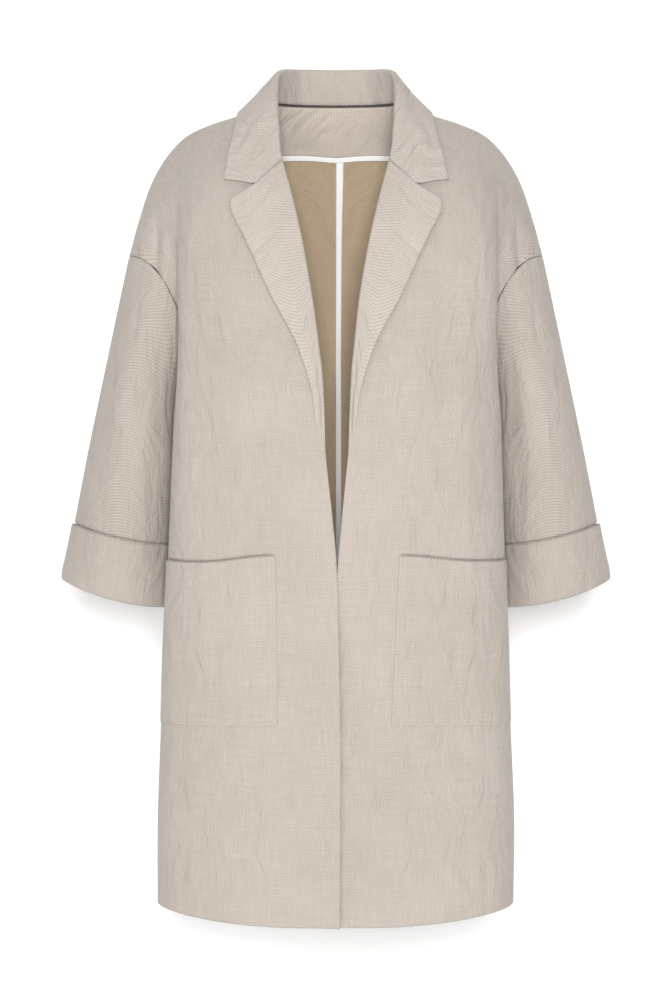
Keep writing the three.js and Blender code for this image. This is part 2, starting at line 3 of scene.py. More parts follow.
import bpy
import numpy as np
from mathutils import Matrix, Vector


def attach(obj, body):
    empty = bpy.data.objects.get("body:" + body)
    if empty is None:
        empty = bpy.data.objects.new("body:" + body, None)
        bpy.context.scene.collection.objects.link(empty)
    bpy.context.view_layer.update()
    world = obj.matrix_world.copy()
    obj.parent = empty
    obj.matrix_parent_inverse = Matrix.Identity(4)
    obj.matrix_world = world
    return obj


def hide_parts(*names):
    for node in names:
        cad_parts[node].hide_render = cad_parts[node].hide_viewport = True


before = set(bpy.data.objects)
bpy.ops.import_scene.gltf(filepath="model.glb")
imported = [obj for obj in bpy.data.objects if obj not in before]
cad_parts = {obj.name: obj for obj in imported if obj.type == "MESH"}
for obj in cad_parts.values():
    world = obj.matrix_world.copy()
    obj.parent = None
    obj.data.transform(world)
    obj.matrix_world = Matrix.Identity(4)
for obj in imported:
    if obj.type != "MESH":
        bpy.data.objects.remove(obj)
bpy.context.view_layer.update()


# The coat's body: four panels of two-tone basket weave, sewn at the shoulders, sides,
# centre back and armholes. They keep the filled-out form, with soft creases.
# Lengths in the tables are millimetres; left is the wearer's, at +X.
MM = 0.001
LEFT = 1
RIGHT = -1
SIDES = {"left": LEFT, "right": RIGHT}
CLOTH = 1.8
SEAM_GAP = 0.45
RIM_OUT = 0.15
PANEL_LENGTH = 330
PANEL_HEIGHT = 1000
EDGE_U = SEAM_GAP / PANEL_LENGTH
EDGE_V = SEAM_GAP / PANEL_HEIGHT
QUARTER = math.pi / 2
FULL_TURN = 360
MIRRORED = np.array([-1, 1, 1])


def unit(vectors):
    return vectors / np.linalg.norm(vectors, axis=-1, keepdims=True)


def mix(a, b, t):
    return a + (b - a) * t


def smooth(knots, rows, ts):
    """A smooth curve through rows set at rising knots, read at each of ts."""
    knots = np.asarray(knots, float)
    rows = np.asarray(rows, float)
    ts = np.asarray(ts, float)
    if rows.ndim == 2:
        rows = np.broadcast_to(rows[:, None, :], (len(rows), len(ts), rows.shape[1]))
    spans = np.diff(knots)[:, None, None]
    rises = np.diff(rows, axis=0) / spans
    slopes = np.empty_like(rows)
    slopes[0] = rises[0]
    slopes[-1] = rises[-1]
    slopes[1:-1] = (rises[:-1] * spans[1:] + rises[1:] * spans[:-1]) / (spans[:-1] + spans[1:])
    i = np.clip(np.searchsorted(knots, ts, side="left") - 1, 0, len(spans) - 1)
    n = np.arange(len(ts))
    span = spans[i, 0]
    s = (ts[:, None] - knots[i, None]) / span
    to_next = s * s * (3 - 2 * s)
    leave = s * (1 - s) ** 2 * span
    arrive = s * s * (s - 1) * span
    return (mix(rows[i, n], rows[i + 1, n], to_next)
            + slopes[i, n] * leave + slopes[i + 1, n] * arrive)


def table(columns, rows):
    """Rows whose first column is the knot, read back as a dict of named arrays."""
    knots = [row[0] for row in rows]

    def read(keys):
        values = smooth(knots, rows, np.atleast_1d(keys))
        return {name: values[:, i] for i, name in enumerate(columns)}
    return read


def curve_through(points):
    """A smooth curve through points, its length running from 0 to 1."""
    points = np.asarray(points, float)
    lengths = np.concatenate([[0], np.cumsum(np.linalg.norm(np.diff(points, axis=0), axis=1))])
    return lambda ts: smooth(lengths / lengths[-1], points, ts)


# Hem to underarm: half widths to the soft fold in front of the arm, and section shape
FOLD_Y = -55
BODY_ROWS = [
    (-965.5, 208.5, 207.5, -135, 124, 2.5, 2.1, 17.5),
    (-860, 208.5, 208.5, -135, 124, 2.5, 2.1, 4),
    (-735, 204.5, 204.0, -135, 124, 2.4, 2.2, -2),
    (-640, 201.5, 201.0, -134.5, 124, 2.4, 2.3, -4),
    (-541, 196.5, 197.5, -134, 124, 2.3, 2.3, -7),
    (-430, 192.0, 194.5, -132.5, 123, 2.2, 2.3, -7),
    (-360, 188.5, 192.0, -129.5, 122.5, 2.2, 2.35, -8),
]
BODY_COLUMNS = ("level", "right_half", "left_half", "front", "back",
                "front_power", "back_power", "rise")
OPENING = table(("level", "right", "left", "tuck"), [
    (-965.5, -4.5, -8, 3.6),
    (-700, -4.5, -8, 3.6),
    (-612, -2.3, -1, 3.4),
    (-558, -0.6, 2.3, 2.4),
    (-503, 2.6, 4.6, 1),
    (-458, 7.5, 9, 0),
    (-430, 11.5, 13.5, 0),
    (-394, 14.5, 16.8, 0),
    (-321, 22, 24, 0),
    (-270, 29.5, 29.5, 0),
    (-236, 34, 33.6, 0),
    (-194, 41.3, 40.8, 0),
    (-142, 52, 51.5, 0),
    (-98, 62.8, 62.5, 0),
    (-79, 68.6, 68, 0),
    (-35, 76.5, 76.5, 0),
    (0, 80, 80, 0),
])


def opening_at(level):
    return {name: float(values[0]) for name, values in OPENING(level).items()}


ARM_CENTRE = np.array([211, 34, -249])
ARM_TO_TOP = np.array([39.5, -6, 66])
ARM_TO_FRONT = np.array([0, -66, 0])
ARM_BOW = np.array([-10, 0, 27])


def armhole(degrees):
    turn = math.radians(degrees)
    return (ARM_CENTRE + ARM_TO_TOP * math.cos(turn) + ARM_TO_FRONT * math.sin(turn)
            + ARM_BOW * math.sin(turn) ** 2)


shoulder_ridge = curve_through([
    (80, 0, 0), (115, 4, -15), (150, 6, -26), (180, 8, -40),
    (205, 12, -65.5), (220, 16, -90), (237.5, 23, -137), (250.5, 28, -183),
])
NECK_HALF = 80
NECK_BACK = 70
NECK_LIFT = 7
NECK_POWER = 2 / 2.3
NECK_U = 0.29
NECK_BLEND = 0.15


def back_top(us):
    """The back's upper edge: the neck seam, then the shoulder ridge."""
    turn = np.clip(us / NECK_U, 0, 1) * QUARTER
    across = np.sin(turn) ** NECK_POWER
    back = np.maximum(np.cos(turn), 0) ** NECK_POWER
    neck = np.stack([NECK_HALF * across, NECK_BACK * back, NECK_LIFT * back], axis=1)
    ridge = shoulder_ridge((us - NECK_U) / (1 - NECK_U))
    return np.where((us < NECK_U)[:, None], neck, ridge)


UPPER_COLUMNS = ("degrees", "edge_y", "edge_z", "fold_x", "fold_y", "fold_z", "bulge", "power",
                 "lift", "hollow_x", "hollow_y", "hollow_z")
UPPER_ROWS = {
    "front": [
        (180, -124.5, -300, 186, -58, -306, 27, 2.2, 0, -4, 0, -3),
        (150, -114.5, -238, 186.5, -62, -264, 26, 2.2, 0, -4, 9, -2),
        (120, -98, -178, 187, -63, -224, 27, 2.2, 0, -4, 11, 0),
        (90, -79, -122, 187, -60, -184, 25, 2.1, 0, -6, 7, 2),
        (60, -49, -66, 187, -53, -142, 21, 1.8, 0, -2, 0, 6),
        (30, -21, -24, 184, -36, -97, 13, 1.5, 0, 3, -4, 9),
    ],
    "back": [
        (180, 122, -300, 148, 78, -306, 14, 2, 0, 3, 4, 0),
        (150, 121, -240, 158, 88, -264, 11, 1.9, 2, 2, 2, 0),
        (120, 118, -182, 165, 95, -224, 9, 1.8, 8, -2, 0, 2),
        (90, 112, -130, 170, 92, -184, 9, 1.6, 14, 0, 2, 6),
        (60, 103, -84, 174, 78, -144, 12, 1.5, 22, 2, 6, 8),
        (30, 92, -44, 178, 52, -100, 14, 1.5, 24, 4, 6, 10),
    ],
}
FOLD_OUT = {LEFT: 3, RIGHT: -0.5}
CHEST_STEPS = (0.2, 0.4, 0.6, 0.76, 0.88, 0.96, 1)
ARM_STEPS = (0.25, 0.5, 0.75, 1)
BULGE_PEAK = 0.7


def round_share(s, power):
    return (1 - s ** power) ** (1 / power) - (1 - s)


def upper_row(values, side, facing):
    row = dict(zip(UPPER_COLUMNS, values))
    front = facing == "front"
    opening = opening_at(row["edge_z"])
    edge_x = (opening["left"] if side == LEFT else opening["right"]) if front else 0
    edge = np.array([edge_x, row["edge_y"], row["edge_z"]])
    fold_out = FOLD_OUT[side] if front else 0
    fold = np.array([row["fold_x"] + fold_out, row["fold_y"], row["fold_z"]])
    seam = armhole(row["degrees"] if front else -row["degrees"])
    bulge = np.array([0, -row["bulge"] if front else row["bulge"], row["lift"]])
    hollow = np.array([row["hollow_x"], row["hollow_y"], row["hollow_z"]])
    peak = round_share(BULGE_PEAK, row["power"])
    chest = [mix(edge, fold, s) + bulge * round_share(s, row["power"]) / peak
             for s in CHEST_STEPS]
    arm = [mix(fold, seam, s) + hollow * math.sin(math.pi * s) for s in ARM_STEPS]
    return curve_through([edge, *chest, *arm])


SEAM_Y_UNDERARM = 40
SEAM_Y_HEM = 25
HEM_LEVEL = BODY_ROWS[0][0]
UNDERARM_LEVEL = -300
TUCK_WIDTH = 70
FRONT_TURNS = (0.16, 0.32, 0.47, 0.6, 0.72, 0.84, 0.94, 1)
BACK_TURNS = (0.15, 0.32, 0.5, 0.68, 0.85, 1)


def lower_row(values, side, facing):
    row = dict(zip(BODY_COLUMNS, values))
    level = row["level"]
    half = row["left_half"] if side == LEFT else row["right_half"]
    height = (level - HEM_LEVEL) / (UNDERARM_LEVEL - HEM_LEVEL)
    seam_y = mix(SEAM_Y_HEM, SEAM_Y_UNDERARM, height)
    seam_share = (seam_y - FOLD_Y) / (row["back"] - FOLD_Y)
    seam_turn = QUARTER + math.asin(seam_share ** (row["back_power"] / 2))
    opening = opening_at(level)

    def point_at(turn):
        to_front = turn < QUARTER
        power = 2 / (row["front_power"] if to_front else row["back_power"])
        reach = row["front"] if to_front else row["back"]
        x = half * max(math.sin(turn), 0) ** power
        y = FOLD_Y + (reach - FOLD_Y) * abs(math.cos(turn)) ** power
        if side == LEFT and to_front:
            y += opening["tuck"] * max(1 - x / TUCK_WIDTH, 0) ** 2
        return x, y, level + row["rise"] * math.sin(turn) ** 2

    if facing == "back":
        turns = [mix(math.pi, seam_turn, share) for share in BACK_TURNS]
        return curve_through([(0, row["back"], level), *map(point_at, turns)])
    edge_x = opening["left"] if side == LEFT else opening["right"]
    edge_y = row["front"] + (opening["tuck"] if side == LEFT else 0)
    turns = [share * seam_turn for share in FRONT_TURNS]
    return curve_through([(edge_x, edge_y, level), *map(point_at, turns)])


UNDERARM_V = 0.66
LOWER_V = [UNDERARM_V * (row[0] - HEM_LEVEL) / (UNDERARM_LEVEL - HEM_LEVEL) for row in BODY_ROWS]
UPPER_STEP = (1 - UNDERARM_V) / len(UPPER_ROWS["front"])
UPPER_V = [UNDERARM_V + UPPER_STEP * i for i in range(len(UPPER_ROWS["front"]))]


def panel(side, facing):
    """The panel's surface: u runs from the opening or centre back, v up from the hem."""
    rows = [lower_row(row, side, facing) for row in BODY_ROWS]
    rows += [upper_row(row, side, facing) for row in UPPER_ROWS[facing]]
    rows.append(shoulder_ridge if facing == "front" else back_top)
    knots = [*LOWER_V, *UPPER_V, 1, 1 + UPPER_STEP]

    def surface(us, vs):
        points = [row(us) for row in rows]
        ridge, below = points[-1], points[-2]
        rounded = np.stack([below[:, 0], 2 * ridge[:, 1] - below[:, 1], below[:, 2]], axis=1)
        on_neck = np.ones_like(us)
        if facing == "back":
            on_neck = np.clip((us - NECK_U) / NECK_BLEND, 0, 1)
        points.append(mix(2 * ridge - below, rounded, on_neck[:, None]))
        return smooth(knots, np.stack(points), vs)
    return surface


SMALL = 1e-3


def normals_at(surface, us, vs):
    du = surface(us + SMALL, vs) - surface(us - SMALL, vs)
    dv = surface(us, vs + SMALL) - surface(us, vs - SMALL)
    return unit(np.cross(du, dv))


def grid_of(us, vs):
    across, up = np.meshgrid(us, vs)
    return across.ravel(), up.ravel()


def shell(name, looks, side, surface, us, vs, low, high, ring=False, relief=None, share=None):
    """A thin closed shell between two offsets of a surface, with soft rims and a metric UV.
    Relief is a function of u, v and the points that gives how far cloth stands out, and
    share one of u that thins it."""
    columns, rows = len(us), len(vs)
    across, up = grid_of(us, vs)
    base = surface(across, up)
    normal = normals_at(surface, across, up)
    out = np.zeros(len(base)) if relief is None else relief(across, up, base)
    thin = np.ones(len(base)) if share is None else share(across)
    outer = base + normal * (high * thin + out)[:, None]
    inner = base + normal * (low * thin + out)[:, None]
    cells = base.reshape(rows, columns, 3)
    run_u = np.zeros((rows, columns))
    run_u[:, 1:] = np.cumsum(np.linalg.norm(np.diff(cells, axis=1), axis=2), axis=1)
    run_v = np.zeros((rows, columns))
    run_v[1:] = np.cumsum(np.linalg.norm(np.diff(cells, axis=0), axis=2), axis=0)
    index = np.arange(rows * columns).reshape(rows, columns)
    layer = rows * columns
    if ring:
        wrap = np.concatenate([index, index[:, :1]], axis=1)
        run_u = np.concatenate([run_u, run_u[:, -1:] * columns / (columns - 1)], axis=1)
        run_v = np.concatenate([run_v, run_v[:, :1]], axis=1)
        borders = [(index[0], index[1]), (index[-1][::-1], index[-2][::-1])]
    else:
        wrap = index
        border = np.concatenate([index[0, :-1], index[:-1, -1], index[-1, :0:-1], index[:0:-1, 0]])
        inside = np.concatenate([index[1, :-1], index[:-1, -2], index[-2, :0:-1], index[:0:-1, 1]])
        borders = [(border, inside)]
    quads = np.stack([wrap[:-1, :-1], wrap[:-1, 1:], wrap[1:, 1:], wrap[1:, :-1]],
                     axis=-1).reshape(-1, 4)
    corners = [(slice(None, -1), slice(None, -1)), (slice(None, -1), slice(1, None)),
               (slice(1, None), slice(1, None)), (slice(1, None), slice(None, -1))]
    quad_uv = np.stack([np.stack([run_u[c], run_v[c]], axis=-1) for c in corners],
                       axis=2).reshape(-1, 4, 2)
    points = [outer, inner]
    faces = [quads, quads[:, ::-1] + layer]
    uvs = [quad_uv, quad_uv[:, ::-1]]
    count = 2 * layer
    flat_uv = np.stack([run_u, run_v], axis=-1)
    uv_of = np.zeros((layer, 2))
    uv_of[wrap.ravel()[::-1]] = flat_uv.reshape(-1, 2)[::-1]
    middle = (outer + inner) / 2
    for border, inside in borders:
        away = unit(middle[border] - middle[inside])
        points.append(middle[border] + away * RIM_OUT)
        ids = np.arange(len(border)) + count
        count += len(border)
        after = np.roll(np.arange(len(border)), -1)
        faces.append(np.stack([border[after], border, ids, ids[after]], axis=-1))
        faces.append(np.stack([ids[after], ids, border + layer, border[after] + layer], axis=-1))
        edge_uv = np.stack([uv_of[border[after]], uv_of[border], uv_of[border], uv_of[border[after]]],
                           axis=1)
        uvs += [edge_uv, edge_uv]
    points = np.concatenate(points) * MM
    points[:, 0] *= side
    faces = np.concatenate(faces)
    uvs = np.concatenate(uvs)
    if side == RIGHT:
        faces = faces[:, ::-1]
        uvs = uvs[:, ::-1]
    mesh = bpy.data.meshes.new(name)
    mesh.from_pydata(points.tolist(), [], faces.tolist())
    for look in looks:
        mesh.materials.append(look)
    in_layer = len(quads)
    if len(looks) > 1:
        inside_faces = np.zeros(len(faces), dtype=np.int32)
        inside_faces[in_layer:2 * in_layer] = 1
        mesh.polygons.foreach_set("material_index", inside_faces)
    mesh.polygons.foreach_set("use_smooth", np.ones(len(faces), dtype=bool))
    layer_uv = mesh.uv_layers.new(name="cloth")
    layer_uv.data.foreach_set("uv", (uvs * MM).ravel())
    mesh.update()
    piece = bpy.data.objects.new(name, mesh)
    bpy.context.scene.collection.objects.link(piece)
    return piece


def new_material(name):
    look = bpy.data.materials.new(name)
    look.use_nodes = True
    return look, look.node_tree.nodes, look.node_tree.links


def math_node(nodes, links, kind, first, second=None):
    node = nodes.new("ShaderNodeMath")
    node.operation = kind
    for socket, value in zip(node.inputs, (first, second)):
        if isinstance(value, (int, float)):
            socket.default_value = value
        elif value is not None:
            links.new(value, socket)
    return node.outputs[0]


WEAVE_PERIOD = 0.0036
WEAVE_BUMP = 0.35
WEAVE_HEIGHT = 0.0004
SLUB_SCALES = ((22, 900), (700, 30))
SLUB_DETAIL = 3
SLUB_SHARE = 0.55
TONE_SCALE = 9
TONE_DETAIL = 2
TONE_SHARE = 0.35
RUMPLE_SCALE = (42, 18)
RUMPLE_DETAIL = 4
RUMPLE_TWIST = 0.6
RUMPLE_HEIGHT = 0.006
NOISE_MEAN = 0.5
SHEEN_ROUGHNESS = 0.6
SPECULAR = 0.2


def weave(name, light, dark, contrast, roughness=0.9, sheen=0.15):
    """Two-tone basket weave with slubs and slow changes of tone, drawn on the metric UV."""
    look, nodes, links = new_material(name)
    shader = nodes["Principled BSDF"]
    shader.inputs["Roughness"].default_value = roughness
    shader.inputs["Sheen Weight"].default_value = sheen
    shader.inputs["Sheen Roughness"].default_value = SHEEN_ROUGHNESS
    shader.inputs["Specular IOR Level"].default_value = SPECULAR
    uv = nodes.new("ShaderNodeUVMap")
    uv.uv_map = "cloth"
    split = nodes.new("ShaderNodeSeparateXYZ")
    links.new(uv.outputs[0], split.inputs[0])
    waves = []
    for axis in (0, 1):
        turn = math_node(nodes, links, "MULTIPLY", split.outputs[axis], 2 * math.pi / WEAVE_PERIOD)
        waves.append(math_node(nodes, links, "SINE", turn))
    check = math_node(nodes, links, "MULTIPLY", *waves)
    slubs = []
    for scale in SLUB_SCALES:
        stretch = nodes.new("ShaderNodeVectorMath")
        stretch.operation = "MULTIPLY"
        stretch.inputs[1].default_value = (*scale, 1)
        links.new(uv.outputs[0], stretch.inputs[0])
        noise = nodes.new("ShaderNodeTexNoise")
        noise.inputs["Scale"].default_value = 1
        noise.inputs["Detail"].default_value = SLUB_DETAIL
        links.new(stretch.outputs[0], noise.inputs["Vector"])
        slubs.append(math_node(nodes, links, "SUBTRACT", noise.outputs["Fac"], NOISE_MEAN))
    slub = math_node(nodes, links, "ADD", *slubs)
    slow = nodes.new("ShaderNodeTexNoise")
    slow.inputs["Scale"].default_value = TONE_SCALE
    slow.inputs["Detail"].default_value = TONE_DETAIL
    place = nodes.new("ShaderNodeTexCoord")
    links.new(place.outputs["Object"], slow.inputs["Vector"])
    tone = math_node(nodes, links, "SUBTRACT", slow.outputs["Fac"], NOISE_MEAN)
    woven = math_node(nodes, links, "MULTIPLY", check, contrast)
    with_slub = math_node(nodes, links, "ADD", woven,
                          math_node(nodes, links, "MULTIPLY", slub, SLUB_SHARE))
    with_tone = math_node(nodes, links, "ADD", with_slub,
                          math_node(nodes, links, "MULTIPLY", tone, TONE_SHARE))
    share = math_node(nodes, links, "ADD", with_tone, NOISE_MEAN)
    colour = nodes.new("ShaderNodeMix")
    colour.data_type = "RGBA"
    colour.inputs[6].default_value = (*dark, 1)
    colour.inputs[7].default_value = (*light, 1)
    links.new(share, colour.inputs[0])
    links.new(colour.outputs[2], shader.inputs["Base Color"])
    stretched = nodes.new("ShaderNodeVectorMath")
    stretched.operation = "MULTIPLY"
    stretched.inputs[1].default_value = (*RUMPLE_SCALE, 1)
    links.new(uv.outputs[0], stretched.inputs[0])
    rumple = nodes.new("ShaderNodeTexNoise")
    rumple.inputs["Scale"].default_value = 1
    rumple.inputs["Detail"].default_value = RUMPLE_DETAIL
    rumple.inputs["Distortion"].default_value = RUMPLE_TWIST
    links.new(stretched.outputs[0], rumple.inputs["Vector"])
    folds = nodes.new("ShaderNodeBump")
    folds.inputs["Strength"].default_value = 1
    folds.inputs["Distance"].default_value = RUMPLE_HEIGHT
    links.new(rumple.outputs["Fac"], folds.inputs["Height"])
    bump = nodes.new("ShaderNodeBump")
    bump.inputs["Strength"].default_value = WEAVE_BUMP
    bump.inputs["Distance"].default_value = WEAVE_HEIGHT
    links.new(with_slub, bump.inputs["Height"])
    links.new(folds.outputs[0], bump.inputs["Normal"])
    links.new(bump.outputs[0], shader.inputs["Normal"])
    return look


BEIGE_LIGHT = (0.472, 0.425, 0.380)
BEIGE_DARK = (0.298, 0.256, 0.218)
KHAKI_LIGHT = (0.478, 0.372, 0.256)
KHAKI_DARK = (0.358, 0.268, 0.174)
OUTSIDE_CONTRAST = 0.45
INSIDE_CONTRAST = 0.2
outside = weave("coat_cloth", BEIGE_LIGHT, BEIGE_DARK, OUTSIDE_CONTRAST)
inside = weave("coat_cloth_inside", KHAKI_LIGHT, KHAKI_DARK, INSIDE_CONTRAST)

# Creases seen from the front: x and z of the start, a middle point and the end, width, depth.
# A negative depth is a trough. The backs have similar ones.
CREASE_COLUMNS = ("start", "middle", "end", "width", "depth")
CREASE_FADE_POWER = 0.7
CREASES = {
    ("front", LEFT): [
        ((190.5, -96), (193.5, -185), (190.5, -290), 2.8, -6),
        ((203, -140), (208, -190), (204, -250), 6, 3),
        ((214, -130), (220, -190), (216, -245), 5, -3),
        ((120, -200), (128, -330), (118, -480), 22, -2.4),
        ((70, -420), (78, -560), (66, -700), 24, 2.2),
        ((150, -300), (156, -440), (150, -560), 15, 2.2),
        ((34, -470), (40, -560), (36, -650), 10, -1.4),
        ((11, -750), (20, -776), (32, -801), 4.5, -2.4),
        ((17, -862), (22, -884), (32, -905), 4.5, -2.4),
        ((60, -924), (78, -928), (97, -925), 4, -2),
        ((120, -880), (138, -905), (146, -940), 8, 2),
        ((17, -620), (18, -780), (19, -960), 3, 1.3),
    ],
    ("front", RIGHT): [
        ((187.5, -96), (189.5, -185), (187.5, -290), 2.8, -6),
        ((199, -150), (204, -200), (200, -260), 6, 3.2),
        ((211, -125), (216, -180), (213, -235), 5, -3.4),
        ((226, -140), (231, -190), (228, -225), 5, 2.6),
        ((118, -190), (126, -330), (114, -490), 20, 2.4),
        ((150, -260), (158, -420), (148, -540), 17, -2.4),
        ((60, -520), (72, -640), (58, -760), 22, -2.2),
        ((24, -901), (41, -896), (58, -900), 4, -2.6),
        ((80, -925), (96, -922), (111, -926), 4, -2.2),
        ((112, -934), (114, -947), (111, -960), 4, -2),
        ((64, -845), (84, -870), (96, -890), 9, 2),
        ((17, -620), (18, -780), (19, -960), 3, 1.4),
    ],
    ("back", LEFT): [
        ((150, -150), (160, -230), (150, -320), 12, -4),
        ((120, -210), (128, -330), (118, -460), 18, 3.2),
        ((60, -400), (74, -560), (62, -720), 24, -3.4),
        ((130, -560), (138, -720), (132, -880), 22, 3),
        ((40, -780), (52, -860), (44, -940), 14, 2.4),
        ((12, -70), (34, -110), (30, -170), 9, 1.8),
    ],
    ("back", RIGHT): [
        ((148, -140), (156, -225), (148, -310), 12, -3.8),
        ((116, -220), (124, -340), (112, -480), 19, 3.4),
        ((66, -430), (60, -580), (72, -740), 23, 3),
        ((128, -600), (138, -740), (126, -900), 21, -3.2),
        ((36, -820), (48, -880), (40, -945), 13, -2.2),
        ((20, -66), (44, -100), (38, -180), 10, -1.8),
    ],
}


def crease_relief(creases, x, z):
    """How far soft troughs and ridges move the cloth out at x and z."""
    out = np.zeros_like(x)
    for values in creases:
        crease = dict(zip(CREASE_COLUMNS, values))
        start, middle, end = (np.array(crease[name], float) for name in CREASE_COLUMNS[:3])
        span = end - start
        along = ((x - start[0]) * span[0] + (z - start[1]) * span[1]) / (span @ span)
        t = np.clip(along, 0, 1)
        bow = 2 * t * (1 - t)
        line_x = (1 - t) ** 2 * start[0] + bow * middle[0] + t * t * end[0]
        line_z = (1 - t) ** 2 * start[1] + bow * middle[1] + t * t * end[1]
        away = np.hypot(x - line_x, z - line_z) / crease["width"]
        fade = np.sin(math.pi * t) ** CREASE_FADE_POWER
        out += crease["depth"] * np.exp(-away ** 2) * fade
    return out


SEAM_DIP = -0.5
SEAM_DIP_WIDTH = 1.8
# Below the waist one front lies over the other, a little proud of it
OVERLAP_TOP = -560
OVERLAP_RUN = 90
OVERLAP_OUT = {LEFT: -2.4, RIGHT: 1.6}
OVERLAP_WIDTH = 16
# The pockets' lines on the fronts; behind each mouth the front sinks a little
POCKET_INNER_U = 0.215
POCKET_OUTER_U = 0.715
POCKET_BOTTOM_V = LOWER_V[2]
POCKET_TOP_V = LOWER_V[4]
MOUTH_SAG = {LEFT: 0.0035, RIGHT: 0.005}
MOUTH_ENDS = 14
MOUTH_DIP = -3.6
MOUTH_DIP_WIDTH = 1.5
MOUTH_DIP_ABOVE = 1


def mouth_v(side, across):
    return POCKET_TOP_V - MOUTH_SAG[side] * np.sin(math.pi * np.clip(across, 0, 1)) ** 2


def panel_relief(facing, side, behind_mouth=True):
    """The relief of a panel, or of a pocket on it when the sink behind its mouth is left out."""
    creases = CREASES[facing, side]

    def relief(us, vs, points):
        out = crease_relief(creases, points[:, 0], points[:, 2])
        from_seam = (1 - us) * PANEL_LENGTH
        from_top = (1 - vs) * PANEL_HEIGHT
        for away in (from_seam, from_top):
            out += SEAM_DIP * np.exp(-(away / SEAM_DIP_WIDTH) ** 2)
        if facing == "back":
            out += SEAM_DIP * np.exp(-(us * PANEL_LENGTH / SEAM_DIP_WIDTH) ** 2)
        else:
            low = np.clip((OVERLAP_TOP - points[:, 2]) / OVERLAP_RUN, 0, 1)
            out += OVERLAP_OUT[side] * low * np.exp(-(us * PANEL_LENGTH / OVERLAP_WIDTH) ** 2)
        if facing == "front" and behind_mouth:
            across = (us - POCKET_INNER_U) / (POCKET_OUTER_U - POCKET_INNER_U)
            inside_ends = np.clip(np.minimum(across, 1 - across) * MOUTH_ENDS, 0, 1)
            above = (vs - mouth_v(side, across)) * PANEL_HEIGHT - MOUTH_DIP_ABOVE
            out += MOUTH_DIP * np.exp(-(above / MOUTH_DIP_WIDTH) ** 2) * inside_ends
        return out
    return relief


def fine_steps(start, end, count, ends=()):
    """Even steps with a few closer ones at the ends, so that seams can dip sharply."""
    values = list(np.linspace(start, end, count + 1))
    for near in ends:
        values += [start + near, end - near]
    return np.array(sorted(values))


surfaces = {(name, facing): panel(side, facing)
            for name, side in SIDES.items() for facing in ("front", "back")}
PANEL_US = 140
PANEL_VS = 215
SEAM_STEPS = (0.004, 0.009)
MOUTH_ROWS_REACH = 0.008
MOUTH_ROWS = (POCKET_TOP_V - MOUTH_ROWS_REACH, POCKET_TOP_V + MOUTH_ROWS_REACH)
MOUTH_ROW_COUNT = 15
BACK_TOP_V = 1 - 2.5 * EDGE_V
TOP_V = {"front": 1 - EDGE_V, "back": BACK_TOP_V}
for (name, facing), surface in surfaces.items():
    side = SIDES[name]
    front = facing == "front"
    us = fine_steps(0 if front else EDGE_U, 1 - EDGE_U, PANEL_US, SEAM_STEPS)
    vs = fine_steps(0, TOP_V[facing], PANEL_VS, SEAM_STEPS)
    if front:
        vs = np.union1d(vs, np.linspace(*MOUTH_ROWS, MOUTH_ROW_COUNT))
    outward = surface if front else (lambda u, v, of=surface: of(1 - u, v))
    relief = panel_relief(facing, side)
    if not front:
        us = (1 - us)[::-1]
        relief = (lambda u, v, p, of=relief: of(1 - u, v, p))
    piece = shell(f"{facing}_{name}_cloth", (outside, inside), side, outward, us, vs, -CLOTH, 0,
                  relief=relief)
    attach(piece, "root")
    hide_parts(f"{facing}_{name}")


# The sleeves are wide tubes of the same cloth, sewn into the dropped armholes. Each ends
# in a cuff, a double band of the cloth that is turned back over it.
SLEEVE_ROWS = [
    (0.3, 236, 38, -344, 48.5, 69, 12, 1),
    (0.55, 247, 39, -430, 55.5, 66, 12.5, 2),
    (0.8, 259, 40, -520, 61, 63, 12.5, 4),
    (1, 267, 41, -584.5, 66, 61, 14.5, 6),
]
SLEEVE_COLUMNS = ("w", "x", "y", "z", "half_width", "half_depth", "lean", "dip")
SLEEVE_START = np.array([0.6, 0, -0.8]) * SEAM_GAP


def sleeve(name):
    def surface(a, w):
        a = np.mod(a, 1)
        turn = a * 2 * math.pi
        in_front = a <= 0.5
        half = np.where(in_front, a, 1 - a) * 2
        vs = mix(1, UNDERARM_V, half)
        ones = np.ones_like(a)
        start = np.where(in_front[:, None], surfaces[name, "front"](ones, vs),
                         surfaces[name, "back"](ones, vs)) + SLEEVE_START
        rings = [start]
        for values in SLEEVE_ROWS:
            row = dict(zip(SLEEVE_COLUMNS, values))
            lean = math.radians(row["lean"])
            out = row["half_width"] * np.cos(turn)
            rings.append(np.stack([
                row["x"] + out * math.cos(lean),
                row["y"] - row["half_depth"] * np.sin(turn),
                row["z"] + out * math.sin(lean) - row["dip"] * np.sin(turn) ** 2], axis=1))
        return smooth([0, *(row[0] for row in SLEEVE_ROWS)], np.stack(rings), w)
    return surface


# Sleeve creases: turn in degrees and w of the start, the same of the end, width, depth
SLEEVE_CREASES = {
    "left": [(70, 0.12, 62, 0.5, 12, -1.5), (105, 0.1, 95, 0.42, 11, 1.4),
             (130, 0.25, 120, 0.7, 13, -1.4), (230, 0.15, 245, 0.6, 14, -1.7),
             (290, 0.2, 280, 0.7, 15, 1.5)],
    "right": [(75, 0.1, 66, 0.45, 12, 1.4), (110, 0.12, 98, 0.5, 12, -1.5),
              (50, 0.3, 58, 0.75, 13, -1.2), (240, 0.12, 250, 0.55, 14, 1.6),
              (300, 0.25, 288, 0.75, 15, -1.6)],
}
CUFF_TOP_W = 0.798
CUFF_DIP = -3
CUFF_DIP_ABOVE = 0.8
CUFF_DIP_WIDTH = 1.7
SLEEVE_ROUND = 370
SLEEVE_LENGTH = 420


